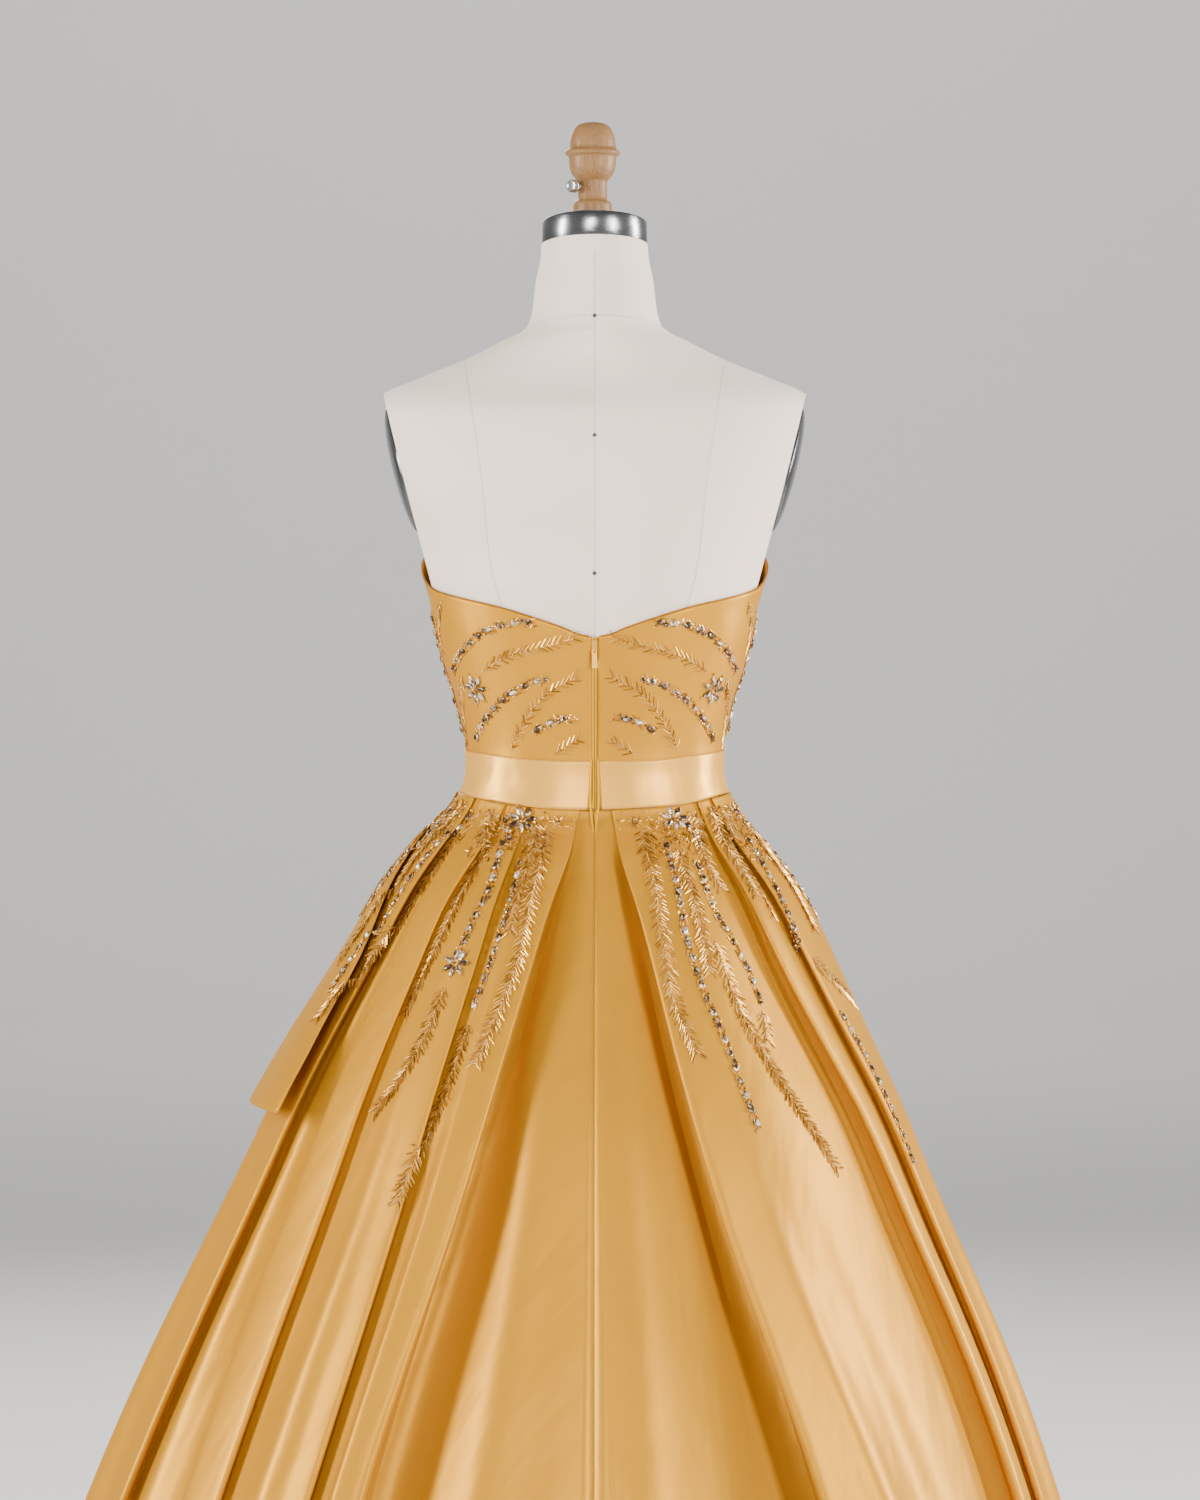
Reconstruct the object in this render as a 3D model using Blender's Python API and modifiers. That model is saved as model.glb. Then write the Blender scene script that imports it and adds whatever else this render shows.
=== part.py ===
"""Strapless evening gown with a pleated ball skirt, on a limbless linen dress form and its stand.

Metres, +Z up. The origin is on the floor, on the pole's axis. The back of the gown faces -Y, and an
angle round the body is counted in degrees from the centre back, positive towards +X.
"""

import math

import bmesh
import bpy
import numpy as np
from mathutils import Matrix, Vector

# Driving dimensions
GAP = 0.0003  # between pieces that meet
SEAM_HEIGHT = 1.0592  # waist seam at the sides
SEAM_DIP_BACK = 0.0137  # how much lower the waist seam runs at the centre back
SEAM_DIP_FRONT = 0.0080
HEM_HEIGHT = 0.006
SKIRT_LENGTH = 1.045  # waist seam to hem, measured straight down
BODICE_WALL = 0.0018
BODICE_CLEARANCE = 0.0008  # linen to the bodice's inner side
BELT_WALL = 0.0012
BELT_CLEARANCE = 0.0004
SKIRT_WALL = 0.0012
PLEAT_LAYER = 0.0016  # from one pressed layer's middle to the next one's
SKIRT_CLEARANCE = 0.00065  # linen to the innermost layer at the waist seam
ZIP_HALF_WIDTH = 0.0021
ZIP_WALL = 0.0010
TILT_NECK = 10.0  # degrees that the neck's top leans forwards
NECK_CENTRE = Vector((0.0, 0.008, 1.567))
CAP_RADIUS = 0.049
CAP_HEIGHT = 0.0236
KNOB_CENTRE = Vector((-0.002, 0.008, 0.0))
BASE_RADIUS = 0.190
BASE_HEIGHT = 0.046
POLE_RADIUS = 0.016
TORSO_BOTTOM = 0.840
TORSO_COLUMNS = 40
SCREW_ANGLE = 35.0  # degrees from -X towards -Y
SCREW_HEIGHT = 1.6233
SCREW_RADIUS = 0.0020

# Torso sections: height, half width, depth behind the axis, depth in front, roundness exponent
TORSO_SECTIONS = (
    (0.840, 0.1700, 0.0990, 0.0910, 0.92),
    (0.862, 0.1780, 0.1060, 0.0980, 0.92),
    (0.905, 0.1755, 0.1120, 0.1040, 0.92),
    (0.950, 0.1660, 0.1120, 0.1040, 0.92),
    (1.000, 0.1490, 0.1030, 0.1000, 0.92),
    (1.030, 0.1365, 0.0960, 0.0965, 0.92),
    (1.060, 0.1218, 0.0910, 0.0920, 0.92),
    (1.080, 0.1168, 0.0895, 0.0895, 0.92),
    (1.100, 0.1176, 0.0905, 0.0890, 0.92),
    (1.120, 0.1212, 0.0935, 0.0905, 0.92),
    (1.145, 0.1270, 0.0975, 0.0935, 0.91),
    (1.170, 0.1352, 0.1015, 0.0975, 0.90),
    (1.205, 0.1452, 0.1065, 0.1030, 0.90),
    (1.232, 0.1505, 0.1095, 0.1065, 0.90),
    (1.260, 0.1580, 0.1115, 0.1080, 0.89),
    (1.290, 0.1690, 0.1120, 0.1070, 0.88),
    (1.325, 0.1870, 0.1105, 0.1025, 0.86),
    (1.360, 0.1980, 0.1060, 0.0960, 0.85),
    (1.390, 0.2040, 0.0985, 0.0885, 0.85),
    (1.414, 0.2060, 0.0890, 0.0790, 0.85),
    (1.429, 0.1985, 0.0780, 0.0690, 0.86),
    (1.441, 0.1724, 0.0670, 0.0600, 0.88),
    (1.464, 0.1164, 0.0575, 0.0540, 0.93),
    (1.480, 0.0850, 0.0545, 0.0545, 0.97),
    (1.4906, 0.0640, 0.0525, 0.0560, 1.00),
    (1.506, 0.0584, 0.0500, 0.0570, 1.00),
    (1.535, 0.0548, 0.0450, 0.0580, 1.00),
    (1.562, 0.0498, 0.0418, 0.0578, 1.00),
    (1.600, 0.0488, 0.0408, 0.0568, 1.00),
)
# Heights of the torso's rings, closer where it curves more
TORSO_ROWS = (0.840, 0.862, 0.905, 0.950, 1.000, 1.030, 1.046, 1.058, 1.069, 1.080, 1.091, 1.104,
              1.122, 1.150, 1.178, 1.200, 1.218, 1.236, 1.254, 1.274, 1.298, 1.330, 1.362, 1.390, 1.414,
              1.429, 1.441, 1.464, 1.480, 1.4906, 1.506, 1.535, 1.562, 1.600)
# Bust: angle from the centre front, height, rise, spread in degrees, spread in height
BUST_ANGLE, BUST_HEIGHT, BUST_RISE, BUST_SPREAD, BUST_TALL = 29.0, 1.238, 0.022, 21.0, 0.050
CUP_RISE = 0.0250  # the same bump in the bodice's front, which stands just clear of the linen
# Armhole plane: half width at the upper and the lower end of the flat oval face
ARMHOLE_TOP = (0.1960, 1.4290)
ARMHOLE_BOTTOM = (0.1580, 1.2780)

# Neckline, the same on both sides: angle, height
NECKLINE = (
    (0.0, 1.2037),
    (4.0, 1.2058),
    (9.0, 1.2118),
    (15.0, 1.2176),
    (24.0, 1.2250),
    (34.0, 1.2318),
    (46.0, 1.2374),
    (60.0, 1.2430),
    (73.0, 1.2486),
    (84.0, 1.2572),
    (96.0, 1.2690),
    (112.0, 1.2830),
    (132.0, 1.2960),
    (150.0, 1.3010),
    (165.0, 1.2900),
    (175.0, 1.2700),
    (180.0, 1.2660),
)

# Skirt outline: drop below the seam, half width on the left, on the right, depth at the back, front
SKIRT_SECTIONS = (
    (0.000, 0.1262, 0.1262, 0.0960, 0.0965),
    (0.040, 0.1590, 0.1550, 0.1370, 0.1340),
    (0.085, 0.1925, 0.1907, 0.1720, 0.1680),
    (0.130, 0.2170, 0.2140, 0.1980, 0.1930),
    (0.175, 0.2430, 0.2346, 0.2210, 0.2150),
    (0.228, 0.2730, 0.2590, 0.2470, 0.2410),
    (0.278, 0.2990, 0.2830, 0.2710, 0.2640),
    (0.318, 0.3165, 0.3000, 0.2870, 0.2800),
    (0.386, 0.3480, 0.3250, 0.3130, 0.3060),
    (0.494, 0.3986, 0.3700, 0.3570, 0.3490),
    (0.662, 0.4696, 0.4266, 0.4150, 0.4050),
    (0.850, 0.5370, 0.4800, 0.4720, 0.4600),
    (1.045, 0.6020, 0.5330, 0.5270, 0.5120),
)
SKIRT_ROWS = (0.0, 0.004, 0.024, 0.054, 0.098, 0.158, 0.235, 0.330, 0.450, 0.600, 0.800, 1.045)
# How each fold grows on the way down: drop, lip radius, depth of its recess, pull of the faces inwards
FOLD_GROWTH = (
    (0.000, 0.0008, 0.0032, 1.00),
    (0.004, 0.0008, 0.0032, 1.00),
    (0.024, 0.0010, 0.0056, 0.95),
    (0.050, 0.0014, 0.0140, 0.88),
    (0.120, 0.0024, 0.0270, 0.74),
    (0.300, 0.0040, 0.0390, 0.45),
    (0.620, 0.0060, 0.0460, 0.30),
    (1.045, 0.0080, 0.0500, 0.25),
)
# Drops at which the fold table gives an edge's angle
FOLD_DROPS = (0.0, 0.11, 0.30, 0.62, 1.045)
# Folds in order round the skirt: turn (1: the lip faces +angle), edge angles at FOLD_DROPS, depth of tuck
# at the waist and at the hem, strength, drop where its recess opens, width opened for each metre below
# that, plain columns up to the next fold, angle of a panel seam in that stretch
FOLDS = (
    (-1, (-173.0, -168.0, -161.0, -153.0, -148.0), 0.022, 0.030, 1.2, 0.20, 0.14, 2, None),
    (-1, (-143.0, -141.0, -139.0, -136.0, -134.0), 0.014, 0.022, 0.9, 0.30, 0.06, 1, None),
    (-1, (-124.0, -124.0, -125.0, -125.0, -126.0), 0.011, 0.018, 0.7, 0.30, 0.04, 1, None),
    (-1, (-108.0, -108.0, -109.0, -110.0, -111.0), 0.010, 0.018, 0.9, 0.30, 0.05, 2, -90.0),
    (1, (-60.0, -63.0, -66.5, -70.0, -73.0), 0.014, 0.020, 0.4, 0.25, 0.03, 1, None),
    (-1, (-49.0, -55.0, -55.0, -55.0, -56.5), 0.007, 0.011, 1.1, 0.12, 0.05, 1, None),
    (1, (-38.0, -45.0, -46.0, -48.0, -50.5), 0.007, 0.011, 0.3, 0.12, 0.04, 1, None),
    (1, (-27.0, -28.5, -30.5, -34.5, -39.5), 0.010, 0.015, 0.3, 0.70, 0.04, 2, None),
    (1, (-5.0, -13.5, -19.8, -27.5, -31.0), 0.022, 0.014, 1.3, 0.20, 0.15, 1, 0.0),
    (-1, (6.0, 13.0, 19.3, 30.0, 37.0), 0.024, 0.030, 1.3, 0.38, 0.23, 4, None),
    (-1, (46.0, 48.5, 60.0, 68.5, 71.0), 0.010, 0.018, 0.7, 0.16, 0.08, 1, None),
    (-1, (57.0, 60.5, 71.0, 79.0, 82.0), 0.014, 0.018, 0.35, 0.25, 0.03, 2, 90.0),
    (1, (106.0, 107.0, 108.0, 110.0, 111.0), 0.014, 0.018, 0.9, 0.30, 0.05, 1, None),
    (1, (124.0, 124.0, 124.0, 125.0, 126.0), 0.011, 0.018, 0.7, 0.30, 0.04, 1, None),
    (1, (143.0, 141.0, 138.0, 136.0, 135.0), 0.011, 0.022, 0.9, 0.30, 0.06, 2, None),
    (1, (173.0, 168.0, 160.0, 152.0, 148.0), 0.022, 0.030, 1.2, 0.25, 0.15, 1, 180.0),
)

# Loose side panel: drop, angle of its back edge, angle of its front edge, distance from the skirt
PANEL_ROWS = (
    (0.000, -93.0, -128.0, 0.0021),
    (0.030, -86.0, -128.0, 0.0038),
    (0.070, -76.0, -127.0, 0.0056),
    (0.110, -69.5, -127.0, 0.0078),
    (0.150, -66.0, -127.0, 0.0100),
    (0.190, -64.5, -127.0, 0.0128),
    (0.235, -62.5, -127.0, 0.0160),
    (0.283, -62.0, -127.0, 0.0190),
)
PANEL_COLUMNS = 12
PANEL_EDGE_CURL = 0.006  # how far the back edge lifts at the bottom


def smooth_table(rows):
    """Return a function that reads a table at any value of its first column, with no overshoot."""
    data = np.array(rows, float)
    at, values = data[:, 0], data[:, 1:]
    slopes = np.diff(values, axis=0) / np.diff(at)[:, None]
    tangents = np.vstack([slopes[:1], np.zeros_like(slopes[1:]), slopes[-1:]])
    rising = slopes[1:] * slopes[:-1] > 0
    both = np.where(rising, slopes[1:] + slopes[:-1], 1.0)
    tangents[1:-1] = np.where(rising, 2 * slopes[1:] * slopes[:-1] / both, 0.0)

    def read(x):
        x = min(max(x, at[0]), at[-1])
        i = min(int(np.searchsorted(at, x, side="right")) - 1, len(at) - 2)
        span = at[i + 1] - at[i]
        s = (x - at[i]) / span
        ends = (1 + 2 * s) * (1 - s) ** 2 * values[i] + s * s * (3 - 2 * s) * values[i + 1]
        curve = ends + span * s * (1 - s) * ((1 - s) * tangents[i] - s * tangents[i + 1])
        return curve.tolist()

    return read


def ease(x):
    """0 below 0, 1 above 1, smooth between."""
    x = min(max(x, 0.0), 1.0)
    return x * x * (3 - 2 * x)


torso_section = smooth_table(TORSO_SECTIONS)
neckline_height = smooth_table(NECKLINE)
skirt_section = smooth_table(SKIRT_SECTIONS)
fold_growth = smooth_table(FOLD_GROWTH)
panel_row = smooth_table(PANEL_ROWS)
fold_edges = [smooth_table(list(zip(FOLD_DROPS, fold[1]))) for fold in FOLDS]


def signed_power(value, exponent):
    return math.copysign(abs(value) ** exponent, value)


def torso_ring(z, angle, rise=BUST_RISE):
    """Point of the bare torso at a height and an angle."""
    half, back, front, roundness = torso_section(z)
    turn = math.radians(angle)
    depth = back if math.cos(turn) > 0 else front
    point = Vector((half * signed_power(math.sin(turn), roundness),
                    -depth * signed_power(math.cos(turn), roundness)))
    for side in (-1, 1):
        away = (angle - 180.0 + side * BUST_ANGLE + 180.0) % 360.0 - 180.0
        bump = math.exp(-(away / BUST_SPREAD) ** 2 - ((z - BUST_HEIGHT) / BUST_TALL) ** 2)
        point += rise * bump * point.normalized()
    return point


def seam_height(angle):
    """Height of the waist seam: lowest at the centre back and the centre front."""
    level = math.cos(math.radians(angle))
    return SEAM_HEIGHT - (SEAM_DIP_BACK if level > 0 else SEAM_DIP_FRONT) * level * level


def outwards(ring, angle, distance):
    """Point of a ring moved out along its normal, and the ring's metres for each degree there."""
    step = 1.0
    along = (ring(angle + step) - ring(angle - step)) / (2 * step)
    normal = Vector((along.y, -along.x)).normalized()
    return ring(angle) + distance * normal, along.length


def on_torso(z, angle, distance, rise=BUST_RISE):
    point, _ = outwards(lambda a: torso_ring(z, a, rise), angle, distance)
    return Vector((point.x, point.y, z))


# Middle of the outermost pressed layer at the waist seam, out from the linen
WAIST_STACK = SKIRT_CLEARANCE + SKIRT_WALL / 2 + 2 * PLEAT_LAYER


def skirt_ring(drop, angle):
    """Point of the skirt's outermost surface at a drop below the waist seam."""
    left, right, back, front = skirt_section(drop)
    turn = math.radians(angle)
    half = right if math.sin(turn) > 0 else left
    depth = back if math.cos(turn) > 0 else front
    full = Vector((half * math.sin(turn), -depth * math.cos(turn)))
    waist, _ = outwards(lambda a: torso_ring(seam_height(a) - drop, a), angle, WAIST_STACK)
    return waist.lerp(full, ease((drop - SKIRT_ROWS[1]) / 0.036))


def on_skirt(drop, angle, distance):
    point, metres = outwards(lambda a: skirt_ring(drop, a), angle, distance)
    top = seam_height(angle) - GAP
    return Vector((point.x, point.y, top - (top - HEM_HEIGHT) * drop / SKIRT_LENGTH)), metres


def fold_columns(number, drop):
    """Columns of one fold at a drop, in order of angle: angle and inset from the outer surface."""
    turn, _, tuck_waist, tuck_hem, strength, opens_at, opening = FOLDS[number][:7]
    lip, depth, pull = fold_growth(drop)
    if drop > SKIRT_ROWS[1]:
        grown = ease((drop - SKIRT_ROWS[1]) / 0.12)
        lip *= 1 + (math.sqrt(strength) - 1) * grown
        depth *= 1 + (strength - 1) * grown
    depth = max(depth, 4 * lip)
    tuck = tuck_waist + (tuck_hem - tuck_waist) * ease(drop / SKIRT_LENGTH)
    recess = max(0.0, drop - opens_at) * opening
    rise = 0.003 + 0.012 * ease(drop / 0.6)
    under = 2 * lip
    path = (
        (-tuck - 0.002 - lip, 0.0),
        (-lip, 0.0),
        (0.0, lip),
        (-lip, under),
        (-tuck, under + 0.2 * (depth - under) * (1 - pull)),
        (-tuck, depth - 0.2 * (depth - under) * (1 - pull)),
        (0.0025 + 0.15 * recess, depth),
        (0.0025 + recess + rise, depth * (0.25 + 0.75 * pull)),
    )
    edge = fold_edges[number](drop)[0]
    _, metres = on_skirt(drop, edge, 0.0)
    columns = [(edge + turn * u / metres, inset) for u, inset in path]
    return columns if turn > 0 else columns[::-1]


def skirt_columns(drop):
    """All columns round the skirt at a drop, and the places in that list where panels meet."""
    columns, seams = [], []
    _, _, pull = fold_growth(drop)
    for number, (*_, plain, seam) in enumerate(FOLDS):
        own, other = fold_columns(number, drop), fold_columns((number + 1) % len(FOLDS), drop)
        columns += own
        wrap = 360.0 if number + 1 == len(FOLDS) else 0.0
        stops = [own[-1], (other[0][0] + wrap, other[0][1])]
        if seam is not None:
            stops.insert(1, (seam, pull * (stops[0][1] + stops[1][1]) / 2))
        for first, last in zip(stops, stops[1:]):
            if first[0] == seam:
                seams.append(len(columns))
                columns += [first, first]
            for step in range(1, plain + 1):
                share = step / (plain + 1)
                inset = (first[1] + (last[1] - first[1]) * ease(share)) * (1 - 0.5 * share * (1 - share))
                columns.append((first[0] + (last[0] - first[0]) * share, inset))
    return columns, seams


# Modelling helpers

def material(name, colour, roughness, metallic=0.0):
    made = bpy.data.materials.new(name)
    made.use_nodes = True
    shader = made.node_tree.nodes["Principled BSDF"]
    shader.inputs["Base Color"].default_value = (*colour, 1.0)
    shader.inputs["Roughness"].default_value = roughness
    shader.inputs["Metallic"].default_value = metallic
    made.diffuse_color = (*colour, 1.0)
    return made


def add_object(name, mesh, collection, finish=None):
    made = bpy.data.objects.new(name, mesh)
    collection.objects.link(made)
    if finish:
        mesh.materials.append(finish)
    return made


def mesh_from(name, build):
    """New mesh filled by a function that models in a bmesh."""
    bm = bmesh.new()
    build(bm)
    mesh = bpy.data.meshes.new(name)
    bm.to_mesh(mesh)
    bm.free()
    mesh.shade_smooth()
    mesh.set_sharp_from_angle(angle=math.radians(40))
    return mesh


def sheet(name, columns, rows, place, wall, collection, finish):
    """Cloth wall: a grid whose column and row numbers are placed by a function, given its thickness."""
    def build(bm):
        bmesh.ops.create_grid(bm, x_segments=columns - 1, y_segments=rows - 1, size=1.0)
        for vert in bm.verts:
            column = round((vert.co.x + 1) / 2 * (columns - 1))
            row = round((vert.co.y + 1) / 2 * (rows - 1))
            vert.co = place(column, row)

    made = add_object(name, mesh_from(name, build), collection, finish)
    thick = made.modifiers.new("Wall", "SOLIDIFY")
    thick.thickness = wall
    thick.offset = 0.0
    return made


def turned(name, profile, steps, collection, finish):
    """Solid of revolution about Z from a profile of radius and height that runs from top to bottom."""
    def build(bm):
        verts = [bm.verts.new((radius, 0.0, z)) for radius, z in profile]
        for first, second in zip(verts, verts[1:]):
            bm.edges.new((first, second))

    made = add_object(name, mesh_from(name, build), collection, finish)
    screw = made.modifiers.new("Turn", "SCREW")
    screw.steps = screw.render_steps = steps
    screw.use_merge_vertices = True
    screw.merge_threshold = 0.00001
    screw.use_smooth_shade = True
    return made


def cut(target, cutter, operation="DIFFERENCE"):
    boolean = target.modifiers.new("Cut", "BOOLEAN")
    boolean.operation = operation
    boolean.object = cutter
    cutter.hide_render = True
    cutter.display_type = "WIRE"


def close_holes(bm):
    bmesh.ops.holes_fill(bm, edges=[edge for edge in bm.edges if edge.is_boundary], sides=0)


def slice_off(bm, point, normal):
    """Remove what lies beyond a plane and close the cut."""
    everything = bm.verts[:] + bm.edges[:] + bm.faces[:]
    bmesh.ops.bisect_plane(bm, geom=everything, dist=1e-6, plane_co=point, plane_no=normal, clear_outer=True)
    close_holes(bm)


# Dress form

NECK_AXIS = Vector((0.0, math.sin(math.radians(TILT_NECK)), math.cos(math.radians(TILT_NECK))))


def armhole_plane(side):
    """A point on the armhole's plane and its outward normal, for side 1 or -1."""
    top = Vector((side * ARMHOLE_TOP[0], 0.0, ARMHOLE_TOP[1]))
    run = top - Vector((side * ARMHOLE_BOTTOM[0], 0.0, ARMHOLE_BOTTOM[1]))
    return top, Vector((side * run.z, 0.0, -side * run.x)).normalized()


def build_torso(collection, linen):
    last_row = len(TORSO_ROWS) - 1

    def build(bm):
        bmesh.ops.create_grid(bm, x_segments=TORSO_COLUMNS, y_segments=last_row, size=1.0)
        for vert in bm.verts:
            column = round((vert.co.x + 1) / 2 * TORSO_COLUMNS)
            z = TORSO_ROWS[round((vert.co.y + 1) / 2 * last_row)]
            point = torso_ring(z, 360.0 * (column % TORSO_COLUMNS) / TORSO_COLUMNS)
            vert.co = (point.x, point.y, z)
        bmesh.ops.remove_doubles(bm, verts=bm.verts[:], dist=1e-6)
        close_holes(bm)
        slice_off(bm, NECK_CENTRE - GAP * NECK_AXIS, NECK_AXIS)
        for side in (-1, 1):
            slice_off(bm, *armhole_plane(side))

    add_object("form_torso", mesh_from("form_torso", build), collection, linen)


def build_neck(collection, steel, wood):
    edge = 0.0015
    profile = (
        (0.0, CAP_HEIGHT + 0.0020),
        (0.030, CAP_HEIGHT + 0.0014),
        (CAP_RADIUS - edge, CAP_HEIGHT),
        (CAP_RADIUS, CAP_HEIGHT - edge),
        (CAP_RADIUS, edge / 2),
        (CAP_RADIUS - edge / 2, 0.0),
        (0.0, 0.0),
    )
    cap = turned("neck_cap", profile, 32, collection, steel)
    cap.location = NECK_CENTRE
    cap.rotation_euler = (-math.radians(TILT_NECK), 0.0, 0.0)

    # Turned knob, radius and height, down to below the cap, where the cap's slope cuts it
    knob_profile = (
        (0.0, 1.6840),
        (0.0085, 1.6834),
        (0.0138, 1.6815),
        (0.0172, 1.6782),
        (0.0194, 1.6735),
        (0.0212, 1.6672),
        (0.0224, 1.6590),
        (0.0244, 1.6578),
        (0.0259, 1.6554),
        (0.0244, 1.6530),
        (0.0225, 1.6518),
        (0.0217, 1.6430),
        (0.0196, 1.6362),
        (0.0160, 1.6314),
        (0.0136, 1.6280),
        (0.0138, 1.6116),
        (0.0172, 1.6092),
        (0.0180, 1.6060),
        (0.0183, 1.5800),
        (0.0, 1.5800),
    )
    knob = turned("neck_finial", knob_profile, 24, collection, wood)
    knob.location = KNOB_CENTRE
    cutters = bpy.data.collections["cutters"]

    def slope(bm):
        bmesh.ops.create_cube(bm, size=0.1)

    block = add_object("cutter_cap_slope", mesh_from("cutter_cap_slope", slope), cutters)
    top = NECK_CENTRE + (CAP_HEIGHT + 0.0020 + GAP) * NECK_AXIS
    block.location = top - 0.05 * NECK_AXIS
    block.rotation_euler = cap.rotation_euler
    cut(knob, block)

    def bore(bm):
        bmesh.ops.create_cone(bm, cap_ends=True, segments=24, radius1=SCREW_RADIUS + 0.0004,
                              radius2=SCREW_RADIUS + 0.0004, depth=0.040)

    drill = add_object("cutter_screw_bore", mesh_from("cutter_screw_bore", bore), cutters)
    direction = screw_direction()
    drill.matrix_world = Matrix.Translation(screw_origin() + 0.025 * direction) @ aim(direction)
    cut(knob, drill)


def screw_direction():
    return Vector((-math.cos(math.radians(SCREW_ANGLE)), -math.sin(math.radians(SCREW_ANGLE)), 0.0))


def screw_origin():
    return KNOB_CENTRE + Vector((0.0, 0.0, SCREW_HEIGHT))


def aim(direction):
    """Rotation that takes +Z to a direction."""
    return direction.to_track_quat("Z", "Y").to_matrix().to_4x4()


def build_thumb_screw(collection, steel):
    shank, head, rim = SCREW_RADIUS, 0.0062, 0.0008
    profile = (
        (0.0, 0.0265),
        (head - 2 * rim, 0.0265),
        (head - rim, 0.0257),
        (head, 0.0240),
        (head, 0.0200),
        (head - rim, 0.0184),
        (0.0036, 0.0176),
        (0.0032, 0.0146),
        (shank, 0.0142),
        (shank, 0.0070),
        (0.0, 0.0066),
    )
    screw = turned("thumb_screw", profile, 16, collection, steel)
    screw.matrix_world = Matrix.Translation(screw_origin()) @ aim(screw_direction())


def build_arm_plates(collection, steel):
    """Domed oval plates on the flat faces of the armholes."""
    radius, dome, tall, deep = 0.050, 0.0095, 0.060, 0.046
    profile = [(radius * math.sin(turn), dome * math.cos(turn))
               for turn in (math.radians(15 * step) for step in range(6))]
    profile += [(radius, 0.0015), (radius, 0.0), (0.0, 0.0)]
    for side, name in ((-1, "arm_plate_left"), (1, "arm_plate_right")):
        top, normal = armhole_plane(side)
        up = Vector((0.0, 1.0, 0.0)).cross(normal) * (1 if side < 0 else -1)
        up = up if up.z > 0 else -up
        plate = turned(name, profile, 20, collection, steel)
        centre = top - 0.072 * up + GAP * normal + Vector((0.0, -0.004, 0.0))
        across = up.cross(normal)
        axes = Matrix((across * deep / radius, up * tall / radius, normal)).transposed().to_4x4()
        plate.matrix_world = Matrix.Translation(centre) @ axes


def build_stand(collection, iron, steel):
    hub = 0.035
    profile = (
        (0.0, BASE_HEIGHT),
        (0.030, BASE_HEIGHT),
        (hub, BASE_HEIGHT - 0.004),
        (0.040, 0.032),
        (0.070, 0.025),
        (0.130, 0.019),
        (BASE_RADIUS - 0.010, 0.014),
        (BASE_RADIUS, 0.008),
        (BASE_RADIUS, 0.002),
        (BASE_RADIUS - 0.002, 0.0),
        (0.0, 0.0),
    )
    turned("stand_base", profile, 32, collection, iron)

    def rod(bm):
        low, high = BASE_HEIGHT + GAP, TORSO_BOTTOM - GAP
        middle = Matrix.Translation((0.0, 0.0, (low + high) / 2))
        bmesh.ops.create_cone(bm, cap_ends=True, segments=24, radius1=POLE_RADIUS, radius2=POLE_RADIUS,
                              depth=high - low, matrix=middle)

    add_object("stand_pole", mesh_from("stand_pole", rod), collection, steel)


# Bodice, waistband and zip

def edge_angle(z, offset, half_gap):
    """Angle at which a ring round the torso is half a gap from the centre line at the back."""
    angle = 1.0
    for _ in range(20):
        x = on_torso(z, angle, offset).x
        angle *= half_gap / x
    return angle


BELT_ROWS = 4
BELT_HEIGHT_SIDE, BELT_HEIGHT_BACK = 0.0391, 0.0443


def belt_height(angle):
    level = math.cos(math.radians(angle)) ** 2
    return BELT_HEIGHT_SIDE + (BELT_HEIGHT_BACK - BELT_HEIGHT_SIDE) * level


def build_bodice(collection, satin):
    offset = BODICE_CLEARANCE + BODICE_WALL / 2
    upper_rows = 8
    rows = BELT_ROWS + upper_rows
    step = 360.0 / TORSO_COLUMNS
    slot = ZIP_HALF_WIDTH + GAP
    side_seam = GAP / 2
    panels = (
        ("bodice_back_right", 0.0, 90.0, slot, side_seam),
        ("bodice_front", 90.0, 270.0, side_seam, side_seam),
        ("bodice_back_left", 270.0, 360.0, side_seam, slot),
    )
    for name, first, last, first_gap, last_gap in panels:
        count = round((last - first) / step) + 1

        def place(column, row, first=first, last_column=count - 1, gaps=(first_gap, last_gap)):
            angle = first + column * step
            folded = min(angle % 360.0, 360.0 - angle % 360.0)
            low, high = seam_height(angle), neckline_height(folded)[0]
            waist = low + belt_height(angle) * min(row / (BELT_ROWS - 1), 1.0)
            z = waist + (high - waist) * max(row - BELT_ROWS + 1, 0) / upper_rows
            point = on_torso(z, angle, offset, CUP_RISE)
            ahead = on_torso(z, angle + 0.2, offset) - on_torso(z, angle - 0.2, offset)
            if column == 0:
                point += gaps[0] * ahead.normalized()
            if column == last_column:
                point -= gaps[1] * ahead.normalized()
            return point

        sheet(name, count, rows, place, BODICE_WALL, collection, satin)


def build_waistband(collection, ribbon):
    """Ribbon round the waist, open at the zip, a little wider apart at its lower edge."""
    offset = BODICE_CLEARANCE + BODICE_WALL + BELT_CLEARANCE + BELT_WALL / 2
    low_gap, high_gap = 0.0065, 0.0037
    columns = TORSO_COLUMNS + 1

    def place(column, row):
        share = row / (BELT_ROWS - 1)
        gap = low_gap + (high_gap - low_gap) * share
        start = edge_angle(seam_height(0.0), offset, gap)
        angle = min(max(360.0 * column / (columns - 1), start), 360.0 - start)
        return on_torso(seam_height(angle) + belt_height(angle) * share, angle, offset)

    sheet("waistband", columns, BELT_ROWS, place, BELT_WALL, collection, ribbon)


def back_slope(z):
    """Degrees by which the centre back leans from upright at a height."""
    run = on_torso(z + 0.005, 0.0, 0.0) - on_torso(z - 0.005, 0.0, 0.0)
    return math.degrees(math.atan2(run.y, run.z))


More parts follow.
